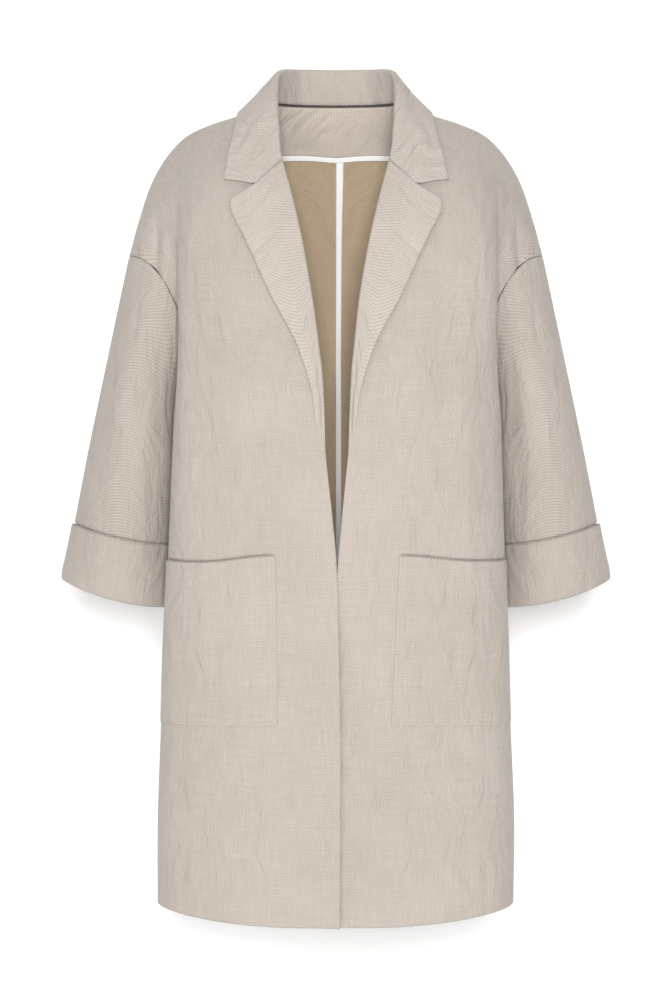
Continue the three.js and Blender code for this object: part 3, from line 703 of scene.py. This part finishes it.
def sleeve_relief(name):
    def relief(a, w, points):
        out = SEAM_DIP * np.exp(-(w * SLEEVE_LENGTH / SEAM_DIP_WIDTH) ** 2)
        above_cuff = (CUFF_TOP_W - w) * SLEEVE_LENGTH - CUFF_DIP_ABOVE
        out += CUFF_DIP * np.exp(-(above_cuff / CUFF_DIP_WIDTH) ** 2)
        for turn, start, turn_end, end, width, depth in SLEEVE_CREASES[name]:
            t = np.clip((w - start) / (end - start), 0, 1)
            centre = mix(turn, turn_end, t) / FULL_TURN
            away_a = (a - centre) * SLEEVE_ROUND
            away_w = (w - mix(start, end, t)) * SLEEVE_LENGTH
            away = np.hypot(away_a, away_w) / width
            out = out + depth * np.exp(-away ** 2) * np.sin(math.pi * t) ** CREASE_FADE_POWER
        return out
    return relief


SLEEVE_US = 128
SLEEVE_WS = 90
CUFF_EDGE_ROWS = (CUFF_TOP_W - 0.02, CUFF_TOP_W + 0.01, 9)
CUFF_PS = 28
SLEEVE_END_W = 0.998
CUFF_SHAPE = table(("p", "w", "height"), [
    (0, CUFF_TOP_W, 1.65),
    (0.4, 0.9, 1.75),
    (0.78, 0.994, 2),
    (0.88, 1.012, 1),
    (0.94, 1.014, -1.4),
    (1, 1.002, -4.2),
])
DOUBLE_CLOTH = 2.4
sleeves = {name: sleeve(name) for name in SIDES}
ring_us = np.arange(SLEEVE_US) / SLEEVE_US
for name, side in SIDES.items():
    surface = sleeves[name]
    ws = np.union1d(np.linspace(0, SLEEVE_END_W, SLEEVE_WS), SEAM_STEPS)
    ws = np.union1d(ws, np.linspace(*CUFF_EDGE_ROWS))
    piece = shell(f"sleeve_{name}_cloth", (outside, inside), side, surface, ring_us, ws,
                  -CLOTH, 0, ring=True, relief=sleeve_relief(name))
    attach(piece, "root")
    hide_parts(f"sleeve_{name}")

    def cuff(a, p, of=surface):
        shape = CUFF_SHAPE(p)
        return of(a, shape["w"]) + normals_at(of, a, shape["w"]) * shape["height"][:, None]

    piece = shell(f"cuff_{name}_cloth", (outside, outside), side, cuff, ring_us,
                  np.linspace(0, 1, CUFF_PS), -DOUBLE_CLOTH / 2, DOUBLE_CLOTH / 2, ring=True)
    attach(piece, "root")
    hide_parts(f"cuff_{name}")


# The patch pockets are one layer of the same cloth, open at the top. Two rows of stitches
# hold each to its front round the other three sides.
LAID_GAP = 0.4
POCKET_GAP = 0.1
POCKET_THICK = 1.3
POCKET_EDGE_SINK = -0.35
POCKET_EDGE_WIDTH = 2.5
MOUTH_STAND = 1.8
MOUTH_STAND_RUN = 0.12
POCKET_FLAT = (0.168, 0.194)


def pocket(name):
    def surface(s, t):
        us = mix(POCKET_INNER_U, POCKET_OUTER_U, s)
        vs = mix(POCKET_BOTTOM_V, mouth_v(SIDES[name], s), t)
        return surfaces[name, "front"](us, vs)
    return surface


def pocket_relief(name):
    creases = panel_relief("front", SIDES[name], behind_mouth=False)

    def relief(s, t, points):
        us = mix(POCKET_INNER_U, POCKET_OUTER_U, s)
        stand = MOUTH_STAND * np.exp(-((1 - t) / MOUTH_STAND_RUN) ** 2)
        stand *= np.sqrt(np.sin(math.pi * s))
        out = creases(us, np.full_like(us, POCKET_BOTTOM_V), points) + stand
        for away in (s * POCKET_FLAT[0], (1 - s) * POCKET_FLAT[0], t * POCKET_FLAT[1]):
            out += POCKET_EDGE_SINK * np.exp(-(away / MM / POCKET_EDGE_WIDTH) ** 2)
        return out
    return relief


STITCH_SIZES = {"Spacing": 0.0034, "Length": 0.0024, "Thickness": 0.0006}
STITCH_SCALES = (0.85, 1.1)
STITCH_SEED = 7
STITCH_SIDES = 6
STITCH_RINGS = 4
STITCH_ROWS = (1.6, 7)
STITCH_LIFT = 0.05
DOWN_POINTS = 60
OVER_POINTS = 50
THREAD_COLOUR = (0.50, 0.44, 0.38, 1)
THREAD_ROUGHNESS = 0.7


def thread_material():
    """Matt polyester thread, a little lighter than the cloth."""
    look, nodes, links = new_material("thread")
    shader = nodes["Principled BSDF"]
    shader.inputs["Base Color"].default_value = THREAD_COLOUR
    shader.inputs["Roughness"].default_value = THREAD_ROUGHNESS
    return look


def stitch_group(look):
    """Geometry Nodes that set stitches at even steps along the lines they are given."""
    group = bpy.data.node_groups.new("stitches", "GeometryNodeTree")
    group.interface.new_socket("Geometry", in_out="INPUT", socket_type="NodeSocketGeometry")
    named = {}
    for name, value in STITCH_SIZES.items():
        named[name] = group.interface.new_socket(name, in_out="INPUT",
                                                 socket_type="NodeSocketFloat")
        named[name].default_value = value
    group.interface.new_socket("Geometry", in_out="OUTPUT", socket_type="NodeSocketGeometry")
    nodes, links = group.nodes, group.links
    start = nodes.new("NodeGroupInput")
    end = nodes.new("NodeGroupOutput")
    line = nodes.new("GeometryNodeMeshToCurve")
    even = nodes.new("GeometryNodeResampleCurve")
    even.mode = "LENGTH"
    ball = nodes.new("GeometryNodeMeshUVSphere")
    ball.inputs["Segments"].default_value = STITCH_SIDES
    ball.inputs["Rings"].default_value = STITCH_RINGS
    ball.inputs["Radius"].default_value = 0.5
    size = nodes.new("ShaderNodeCombineXYZ")
    shaped = nodes.new("GeometryNodeTransform")
    tangent = nodes.new("GeometryNodeInputTangent")
    aligned = nodes.new("FunctionNodeAlignRotationToVector")
    aligned.axis = "Z"
    jitter = nodes.new("FunctionNodeRandomValue")
    jitter.data_type = "FLOAT"
    jitter.inputs[2].default_value = STITCH_SCALES[0]
    jitter.inputs[3].default_value = STITCH_SCALES[1]
    jitter.inputs["Seed"].default_value = STITCH_SEED
    placed = nodes.new("GeometryNodeInstanceOnPoints")
    real = nodes.new("GeometryNodeRealizeInstances")
    coloured = nodes.new("GeometryNodeSetMaterial")
    coloured.inputs["Material"].default_value = look
    links.new(start.outputs["Geometry"], line.inputs["Mesh"])
    links.new(line.outputs["Curve"], even.inputs["Curve"])
    links.new(start.outputs["Spacing"], even.inputs["Length"])
    for axis, name in enumerate(("Thickness", "Thickness", "Length")):
        links.new(start.outputs[name], size.inputs[axis])
    links.new(ball.outputs["Mesh"], shaped.inputs["Geometry"])
    links.new(size.outputs[0], shaped.inputs["Scale"])
    links.new(tangent.outputs[0], aligned.inputs["Vector"])
    links.new(even.outputs["Curve"], placed.inputs["Points"])
    links.new(shaped.outputs["Geometry"], placed.inputs["Instance"])
    links.new(aligned.outputs["Rotation"], placed.inputs["Rotation"])
    links.new(jitter.outputs[1], placed.inputs["Scale"])
    links.new(placed.outputs["Instances"], real.inputs["Geometry"])
    links.new(real.outputs["Geometry"], coloured.inputs["Geometry"])
    links.new(coloured.outputs["Geometry"], end.inputs["Geometry"])
    return group


stitches_along = stitch_group(thread_material())


def stitches(name, lines):
    """Rows of stitches along lines of points, as one plain mesh."""
    points = [tuple(point) for line in lines for point in line]
    edges = []
    first = 0
    for line in lines:
        edges += [(first + i, first + i + 1) for i in range(len(line) - 1)]
        first += len(line)
    mesh = bpy.data.meshes.new(name)
    mesh.from_pydata(points, edges, [])
    piece = bpy.data.objects.new(name, mesh)
    bpy.context.scene.collection.objects.link(piece)
    modifier = piece.modifiers.new("stitches", "NODES")
    modifier.node_group = stitches_along
    for item in stitches_along.interface.items_tree:
        if item.in_out == "INPUT" and item.name in STITCH_SIZES:
            modifier[item.identifier] = STITCH_SIZES[item.name]
    seen = piece.evaluated_get(bpy.context.evaluated_depsgraph_get())
    made = bpy.data.meshes.new_from_object(seen)
    piece.modifiers.clear()
    piece.data = made
    made.polygons.foreach_set("use_smooth", [True] * len(made.polygons))
    return piece


def pocket_stitch_lines(name):
    surface, relief = pocket(name), pocket_relief(name)
    lines = []
    for inset in STITCH_ROWS:
        s_in = inset * MM / POCKET_FLAT[0]
        t_in = inset * MM / POCKET_FLAT[1]
        down = np.linspace(1 - t_in / 2, t_in, DOWN_POINTS)
        over = np.linspace(s_in, 1 - s_in, OVER_POINTS)
        s = np.concatenate([np.full(DOWN_POINTS, s_in), over, np.full(DOWN_POINTS, 1 - s_in)])
        t = np.concatenate([down, np.full(OVER_POINTS, t_in), down[::-1]])
        base = surface(s, t)
        height = POCKET_GAP + POCKET_THICK + STITCH_LIFT + relief(s, t, base)
        line = (base + normals_at(surface, s, t) * height[:, None]) * MM
        line[:, 0] *= SIDES[name]
        lines.append(line)
    return lines


POCKET_STEPS = fine_steps(0, 1, 70, (0.005, 0.01))
for name, side in SIDES.items():
    piece = shell(f"pocket_{name}_cloth", (outside, outside), side, pocket(name),
                  POCKET_STEPS, POCKET_STEPS, POCKET_GAP, POCKET_GAP + POCKET_THICK,
                  relief=pocket_relief(name))
    sewing = stitches(f"pocket_{name}_stitches", pocket_stitch_lines(name))
    for part in (piece, sewing):
        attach(part, "root")
    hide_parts(f"pocket_{name}")


# The lapels are the front facings' upper ends, double cloth turned out round the opening
# edges. They run from the gorge seam down to where the roll starts. Their colours are a
# shade lighter than the fronts' as painted light, standing in for light that falls on them.
TURNED_LIGHT_WITH_PAINTED_LIGHT = (0.515, 0.464, 0.415)
TURNED_DARK_WITH_PAINTED_LIGHT = (0.325, 0.279, 0.238)
# The same cloth as the fronts, its two tones lifted a shade: painted light.
turned_out_painted_lighter = weave("turned_out_cloth_painted_lighter", TURNED_LIGHT_WITH_PAINTED_LIGHT, TURNED_DARK_WITH_PAINTED_LIGHT, OUTSIDE_CONTRAST)
ROLL_RADIUS = 3.8
ROLL_TURNS = np.radians([10, 50, 90, 130, 170])
EDGE_TO_ROLL = 4.4
TUCK_U = 0.035
TUCK_DEPTH = -4.8
GORGE_LEVEL = -80
LAPEL_HEIGHTS = {"inner": 3.4, "middle": 3.8, "outer": 4.6, "edge": 5.4}
FADE_FROM = 0.62
FADED_DEPTH = -1.4
FADED_RADIUS = 0.7
FADED_EDGE_TO_ROLL = -0.6
FADED_SHARE = 0.85
LAPEL_ROWS = [
    (0, GORGE_LEVEL, 123.5, -131, 5),
    (0.08, -105, 120, -148, 0),
    (0.16, -135, 108, -171, 0),
    (0.26, -175, 91, -208, 0),
    (0.36, -215, 76, -241, 0),
    (0.46, -250, 60, -270, 0),
    (0.55, -285, 46, -297, 0),
    (0.66, -325, 33.5, -332, 0),
    (0.76, -360, 27, -357, 0),
    (0.89, -405, 22.5, -400, 0),
    (1, -440, 19, -440, 0),
]
LAPEL_AT = table(("s", "roll_level", "outer_x", "outer_z", "sag"), LAPEL_ROWS)
GORGE_GAP = np.array([0.3, 0, 0.3])
LAY_START = (0.4, 0.8)
LAY_ROUNDS = 12
HALVINGS = 40


def laid_on(front, x, z, height):
    """Points over a front seen at x and z, moved out from its cloth."""
    x = np.asarray(x, float)
    u = np.full_like(x, LAY_START[0])
    v = np.full_like(x, LAY_START[1])
    for _ in range(LAY_ROUNDS):
        here = front(u, v)
        du = (front(u + SMALL, v) - here) / SMALL
        dv = (front(u, v + SMALL) - here) / SMALL
        area = du[:, 0] * dv[:, 2] - dv[:, 0] * du[:, 2]
        off_x = x - here[:, 0]
        off_z = z - here[:, 2]
        u = u + (off_x * dv[:, 2] - off_z * dv[:, 0]) / area
        v = v + (off_z * du[:, 0] - off_x * du[:, 2]) / area
    return front(u, v) + normals_at(front, u, v) * height


def roll_at(front, levels, fade=0.0):
    """The roll and the tuck inside it, where the opening edge reaches these levels.
    Where it fades, both close onto the opening edge."""
    low = np.zeros_like(levels)
    high = np.ones_like(levels)
    for _ in range(HALVINGS):
        middle = (low + high) / 2
        below = front(np.zeros_like(levels), middle)[:, 2] < levels
        low = np.where(below, middle, low)
        high = np.where(below, high, middle)
    zero = np.zeros_like(levels)
    out = unit(front(zero + SMALL, low) - front(zero - SMALL, low))
    normal = normals_at(front, zero, low)
    fade = (zero + fade)[:, None]
    roll = front(zero, low) - out * mix(EDGE_TO_ROLL, FADED_EDGE_TO_ROLL, fade)
    roll -= normal * CLOTH / 2
    tuck_u = zero + TUCK_U
    depth = mix(TUCK_DEPTH, FADED_DEPTH, fade)
    return roll, front(tuck_u, low) + normals_at(front, tuck_u, low) * depth


def around_roll(base, roll, middle, fade=0.0):
    radius = mix(ROLL_RADIUS, FADED_RADIUS, (np.zeros(len(base)) + fade)[:, None])
    crest = unit(roll - (base + middle) / 2)
    span = middle - base
    flat = unit(span - crest * np.sum(span * crest, axis=1, keepdims=True))
    centre = roll - crest * radius
    return [centre - flat * radius * math.cos(turn) + crest * radius * math.sin(turn)
            for turn in ROLL_TURNS]


def lapel_points(front, s):
    row = LAPEL_AT(s)
    fade = lapel_fade(s)
    heights = {name: mix(height, FADED_DEPTH, fade)[:, None]
               for name, height in LAPEL_HEIGHTS.items()}
    roll, tuck = roll_at(front, row["roll_level"], fade)
    outer = np.stack([row["outer_x"], row["outer_z"]], axis=1)
    middle = (roll[:, [0, 2]] + outer) / 2
    middle[:, 1] -= row["sag"]
    middle_point = laid_on(front, middle[:, 0], middle[:, 1], heights["middle"])
    around = around_roll(tuck, roll, middle_point, fade)
    inner = (around[-1][:, [0, 2]] + middle) / 2
    beyond = (middle + outer) / 2
    return np.stack([
        tuck, *around,
        laid_on(front, inner[:, 0], inner[:, 1], heights["inner"]),
        middle_point,
        laid_on(front, beyond[:, 0], beyond[:, 1], heights["outer"]),
        laid_on(front, outer[:, 0], outer[:, 1], heights["edge"]),
    ])


def lapel(front):
    def surface(s, w):
        rows, row_of = np.unique(s, return_inverse=True)
        points = lapel_points(front, rows)[:, row_of] - GORGE_GAP
        return smooth(np.linspace(0, 1, len(points)), points, w)
    return surface


def lapel_fade(s):
    t = np.clip((s - FADE_FROM) / (1 - FADE_FROM), 0, 1)
    return t * t * (3 - 2 * t)


def lapel_share(s):
    return 1 - FADED_SHARE * lapel_fade(s)


LAPEL_SS = np.linspace(0, 1, 90)
LAPEL_WS = np.linspace(0, 1, 40)
for name, side in SIDES.items():
    leaf = lapel(surfaces[name, "front"])
    piece = shell(f"lapel_{name}_cloth", (turned_out_painted_lighter, turned_out_painted_lighter), side, leaf,
                  LAPEL_SS, LAPEL_WS, -DOUBLE_CLOTH / 2, DOUBLE_CLOTH / 2, share=lapel_share)
    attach(piece, "root")
    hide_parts(f"lapel_{name}")


# The collar is one double piece round the neck, from notch to notch: a stand sewn to the
# neck edge, a roll at its top, and a fall that lies over the shoulders.
COLLAR_TIP = (131, -104)
COLLAR_EDGE_HEIGHT = 2.6
COLLAR_OVER_SHOULDER = 5.6
COLLAR_LEFT_IN = 2.5
COLLAR_END_POWER = 8
NOTCH_POINT = 7
COLLAR_STATIONS = [
    (0, (0, 70, 9), (0, 73, 52), (0, 87, 28), (0, 99, -6)),
    (0.18, (45, 60, 8), (43, 64, 51), (55, 78, 27), (62, 88, -9)),
    (0.33, (72, 28, 4.5), (66, 36, 45), (84, 43, 24), (99, 48, -12)),
    (0.49, (80, 0, 2.5), (71.5, 4, 27), (92, 5, 12), (116, 3, -11)),
    (0.62, (76, -14, -10), (70.5, -18, 3), (99, -28, -20), None),
    (0.83, (68.5, -32.5, -52), (67.5, -41, -42), (98, -58, -66), None),
]
COLLAR_EDGE_OVER_FRONT = {0.62: (121, -50), 0.83: (127, -80)}


def collar_side(front, inwards):
    stations = []
    for at, base, roll, middle, edge in COLLAR_STATIONS:
        if edge is None:
            x, z = COLLAR_EDGE_OVER_FRONT[at]
            edge = laid_on(front, [x], z, COLLAR_OVER_SHOULDER)[0]
        stations.append([at, base, roll, middle, edge])
    roll, tuck = roll_at(front, np.array([float(GORGE_LEVEL)]))
    notch = lapel_points(front, np.array([0.0]))[NOTCH_POINT]
    tip = laid_on(front, [COLLAR_TIP[0]], COLLAR_TIP[1], COLLAR_EDGE_HEIGHT)
    stations.append([1, tuck[0], roll[0], notch[0], tip[0]])
    rows = []
    for at, base, roll, middle, edge in stations:
        shift = np.array([-inwards * math.sin(math.pi * at), 0, 0])
        rows.append(np.concatenate([base, roll, middle + shift, edge + shift]))
    knots = [station[0] for station in stations]

    def points_at(ts):
        values = smooth(knots, rows, ts)
        base, roll, middle, edge = (values[:, i:i + 3] for i in (0, 3, 6, 9))
        around = around_roll(base, roll, middle)
        points = np.stack([
            base, (base + around[0]) / 2, *around, (around[-1] + middle) / 2, middle,
            (middle + edge) / 2, edge])
        return points + GORGE_GAP * (ts ** COLLAR_END_POWER)[:, None]
    return points_at


collar_sides = {"left": collar_side(surfaces["left", "front"], COLLAR_LEFT_IN),
                "right": collar_side(surfaces["right", "front"], 0)}


def collar_surface(s, w):
    left = collar_sides["left"](np.abs(s))
    right = collar_sides["right"](np.abs(s)) * MIRRORED
    points = np.where((s < 0)[None, :, None], right, left)
    return smooth(np.linspace(0, 1, len(points)), points, w)


COLLAR_CREASES = [
    ((-96, -20), (-110, -46), (-120, -74), 4.5, -3),
    ((-87, -34), (-97, -60), (-108, -88), 4.5, -3),
    ((-91, -26), (-103, -52), (-113, -80), 5, 2),
    ((92, -30), (101, -52), (112, -80), 6, 2.2),
    ((100, -22), (112, -44), (118, -66), 5, -2.4),
]


def collar_relief(s, w, points):
    return crease_relief(COLLAR_CREASES, points[:, 0], points[:, 2]) * (points[:, 1] < 0)


COLLAR_SS = np.linspace(-1, 1, 181)
COLLAR_WS = np.linspace(0, 1, 48)
# The collar takes the lapels' cloth, painted a shade lighter than the fronts' as painted light.
piece = shell("collar_cloth", (turned_out_painted_lighter, turned_out_painted_lighter), LEFT, collar_surface,
              COLLAR_SS, COLLAR_WS, -DOUBLE_CLOTH / 2, DOUBLE_CLOTH / 2, relief=collar_relief)
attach(piece, "root")
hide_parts("collar")


# The back neck facing is the coat's cloth, laid inside both backs under the collar. White
# tape binds its lower edge and the centre back seam allowance. The facing's colours are
# lighter than the fronts', to make up for the shade it stands in.
FACING_LIGHT = (0.640, 0.570, 0.505)
FACING_DARK = (0.405, 0.345, 0.290)
FACING_CONTRAST = 0.3
facing_cloth = weave("facing_cloth", FACING_LIGHT, FACING_DARK, FACING_CONTRAST)
SEAM_BINDING_U = 0.032
FACING_ON_SHOULDER = 0.16125
FACING_END_U = FACING_ON_SHOULDER * (1 - NECK_U) + NECK_U
FACING_V = UPPER_V[4] + UPPER_STEP * 0.83
BINDING_WIDTH_V = 0.0085
FACING_BINDING_V = FACING_V - BINDING_WIDTH_V
FACING_ENDS_UP = 0.018
BINDING_GAP_V = 0.0004
FACING_OUT = -CLOTH - LAID_GAP
FACING_CLOTH = 1.4
BINDING_THICK = 1.8
FACING_US = 121
FACING_VS = 24
TAPE_STEPS = 7
SEAM_TAPE_BOTTOM_V = 0.01
SEAM_TAPE_STEPS = 220
TAPE_COLOUR = (0.84, 0.84, 0.83, 1)
TAPE_ROUGHNESS = 0.75


def across_back(u, v):
    left = surfaces["left", "back"](np.abs(u), v)
    right = surfaces["right", "back"](np.abs(u), v) * MIRRORED
    return np.where((u < 0)[:, None], left, right)


def tape_material():
    """Plain matt white cotton tape."""
    look, nodes, links = new_material("white_binding")
    shader = nodes["Principled BSDF"]
    shader.inputs["Base Color"].default_value = TAPE_COLOUR
    shader.inputs["Roughness"].default_value = TAPE_ROUGHNESS
    return look


def raised_ends(low, high):
    """Across both backs between two heights, with the lower edge rising to its ends."""
    def surface(u, t):
        rise = FACING_ENDS_UP * (u / FACING_END_U) ** 2
        return across_back(u, mix(low + rise, high + (rise if high < FACING_V else 0), t))
    return surface


white = tape_material()
facing_us = np.linspace(-FACING_END_U, FACING_END_U, FACING_US)
piece = shell("back_neck_facing_cloth", (facing_cloth, facing_cloth), LEFT,
              raised_ends(FACING_V, BACK_TOP_V), facing_us, np.linspace(0, 1, FACING_VS),
              FACING_OUT - FACING_CLOTH, FACING_OUT)
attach(piece, "root")
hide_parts("back_neck_facing")
piece = shell("facing_binding_tape", (white,), LEFT,
              raised_ends(FACING_BINDING_V, FACING_V - BINDING_GAP_V), facing_us,
              np.linspace(0, 1, TAPE_STEPS), FACING_OUT - BINDING_THICK, FACING_OUT)
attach(piece, "root")
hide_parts("facing_binding")
piece = shell("centre_back_binding_tape", (white,), LEFT,
              lambda u, v: surfaces["left", "back"](1 - u, v),
              1 - np.linspace(SEAM_BINDING_U, EDGE_U, TAPE_STEPS),
              np.linspace(SEAM_TAPE_BOTTOM_V, FACING_BINDING_V - BINDING_GAP_V, SEAM_TAPE_STEPS),
              FACING_OUT - FACING_CLOTH, FACING_OUT)
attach(piece, "root")
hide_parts("centre_back_binding")


# A plain pale sweep of matt paper stands behind and below the coat, a floor that curves
# up into a wall. It isn't part of the coat.
SWEEP_WALL_Y = 0.34
SWEEP_FLOOR_Z = -1.35
SWEEP_RADIUS = 0.3
SWEEP_HALF = 4
SWEEP_TOP = 3
SWEEP_FRONT = -5
SWEEP_CURVE_STEPS = 17
corner = [(SWEEP_WALL_Y - SWEEP_RADIUS + SWEEP_RADIUS * math.sin(turn),
           SWEEP_FLOOR_Z + SWEEP_RADIUS - SWEEP_RADIUS * math.cos(turn))
          for turn in np.linspace(0, QUARTER, SWEEP_CURVE_STEPS)]
profile = [(SWEEP_FRONT, SWEEP_FLOOR_Z), *corner, (SWEEP_WALL_Y, SWEEP_TOP)]
sweep_points = [(x, y, z) for y, z in profile for x in (-SWEEP_HALF, SWEEP_HALF)]
sweep_faces = [(2 * i, 2 * i + 1, 2 * i + 3, 2 * i + 2) for i in range(len(profile) - 1)]
sweep_mesh = bpy.data.meshes.new("sweep")
sweep_mesh.from_pydata(sweep_points, [], sweep_faces)
sweep_mesh.polygons.foreach_set("use_smooth", [True] * len(sweep_faces))
sweep = bpy.data.objects.new("sweep", sweep_mesh)
bpy.context.scene.collection.objects.link(sweep)
PAPER_COLOUR = (0.93, 0.93, 0.93, 1)
PAPER_ROUGHNESS = 0.9
PAPER_GLOW_COLOUR = (1, 1, 1, 1)
PAPER_GLOW = 0.11


def sweep_paper():
    """Pale matt paper with a faint glow, clear from its back so the coat's back can be seen."""
    look, nodes, links = new_material("sweep_paper")
    shader = nodes["Principled BSDF"]
    shader.inputs["Base Color"].default_value = PAPER_COLOUR
    shader.inputs["Roughness"].default_value = PAPER_ROUGHNESS
    shader.inputs["Emission Color"].default_value = PAPER_GLOW_COLOUR
    shader.inputs["Emission Strength"].default_value = PAPER_GLOW
    clear = nodes.new("ShaderNodeBsdfTransparent")
    side = nodes.new("ShaderNodeNewGeometry")
    either = nodes.new("ShaderNodeMixShader")
    links.new(side.outputs["Backfacing"], either.inputs[0])
    links.new(shader.outputs[0], either.inputs[1])
    links.new(clear.outputs[0], either.inputs[2])
    links.new(either.outputs[0], nodes["Material Output"].inputs["Surface"])
    return look


paper = sweep_paper()
sweep_mesh.materials.append(paper)


# Soft studio light: three square panels in front of and above the coat, each with its
# place, size and power, and a pale surround that fills the shadows.
LIGHTS = [
    ("front", (0.05, -3.1, -0.15), 0.6, 86),
    ("key", (-1.3, -2.4, 1.3), 1.2, 9),
    ("top", (0, -0.7, 2.4), 1.6, 13),
]
LIGHT_AIM = (0, 0, -0.45)
SURROUND_COLOUR = (1, 1, 1, 1)
SURROUND_STRENGTH = 0.31
for name, place, size, power in LIGHTS:
    data = bpy.data.lights.new(name, "AREA")
    data.size = size
    data.energy = power
    lamp = bpy.data.objects.new(name, data)
    bpy.context.scene.collection.objects.link(lamp)
    lamp.location = place
    lamp.rotation_euler = (Vector(LIGHT_AIM) - Vector(place)).to_track_quat("-Z", "Y").to_euler()
world = bpy.data.worlds.new("surround")
world.use_nodes = True
surround = world.node_tree.nodes["Background"]
surround.inputs["Color"].default_value = SURROUND_COLOUR
surround.inputs["Strength"].default_value = SURROUND_STRENGTH
bpy.context.scene.world = world
bpy.context.scene.view_settings.view_transform = "Standard"


# The camera is level and straight on, at the photograph's height. Its distance and lens
# give the photograph's frame.
CAMERA_PLACE = (0, -2.6, -0.482)
CAMERA_LENS = 77.39
camera_data = bpy.data.cameras.new("camera")
camera_data.lens = CAMERA_LENS
camera = bpy.data.objects.new("camera", camera_data)
camera.location = CAMERA_PLACE
camera.rotation_euler = (QUARTER, 0, 0)
bpy.context.scene.collection.objects.link(camera)
bpy.context.scene.camera = camera
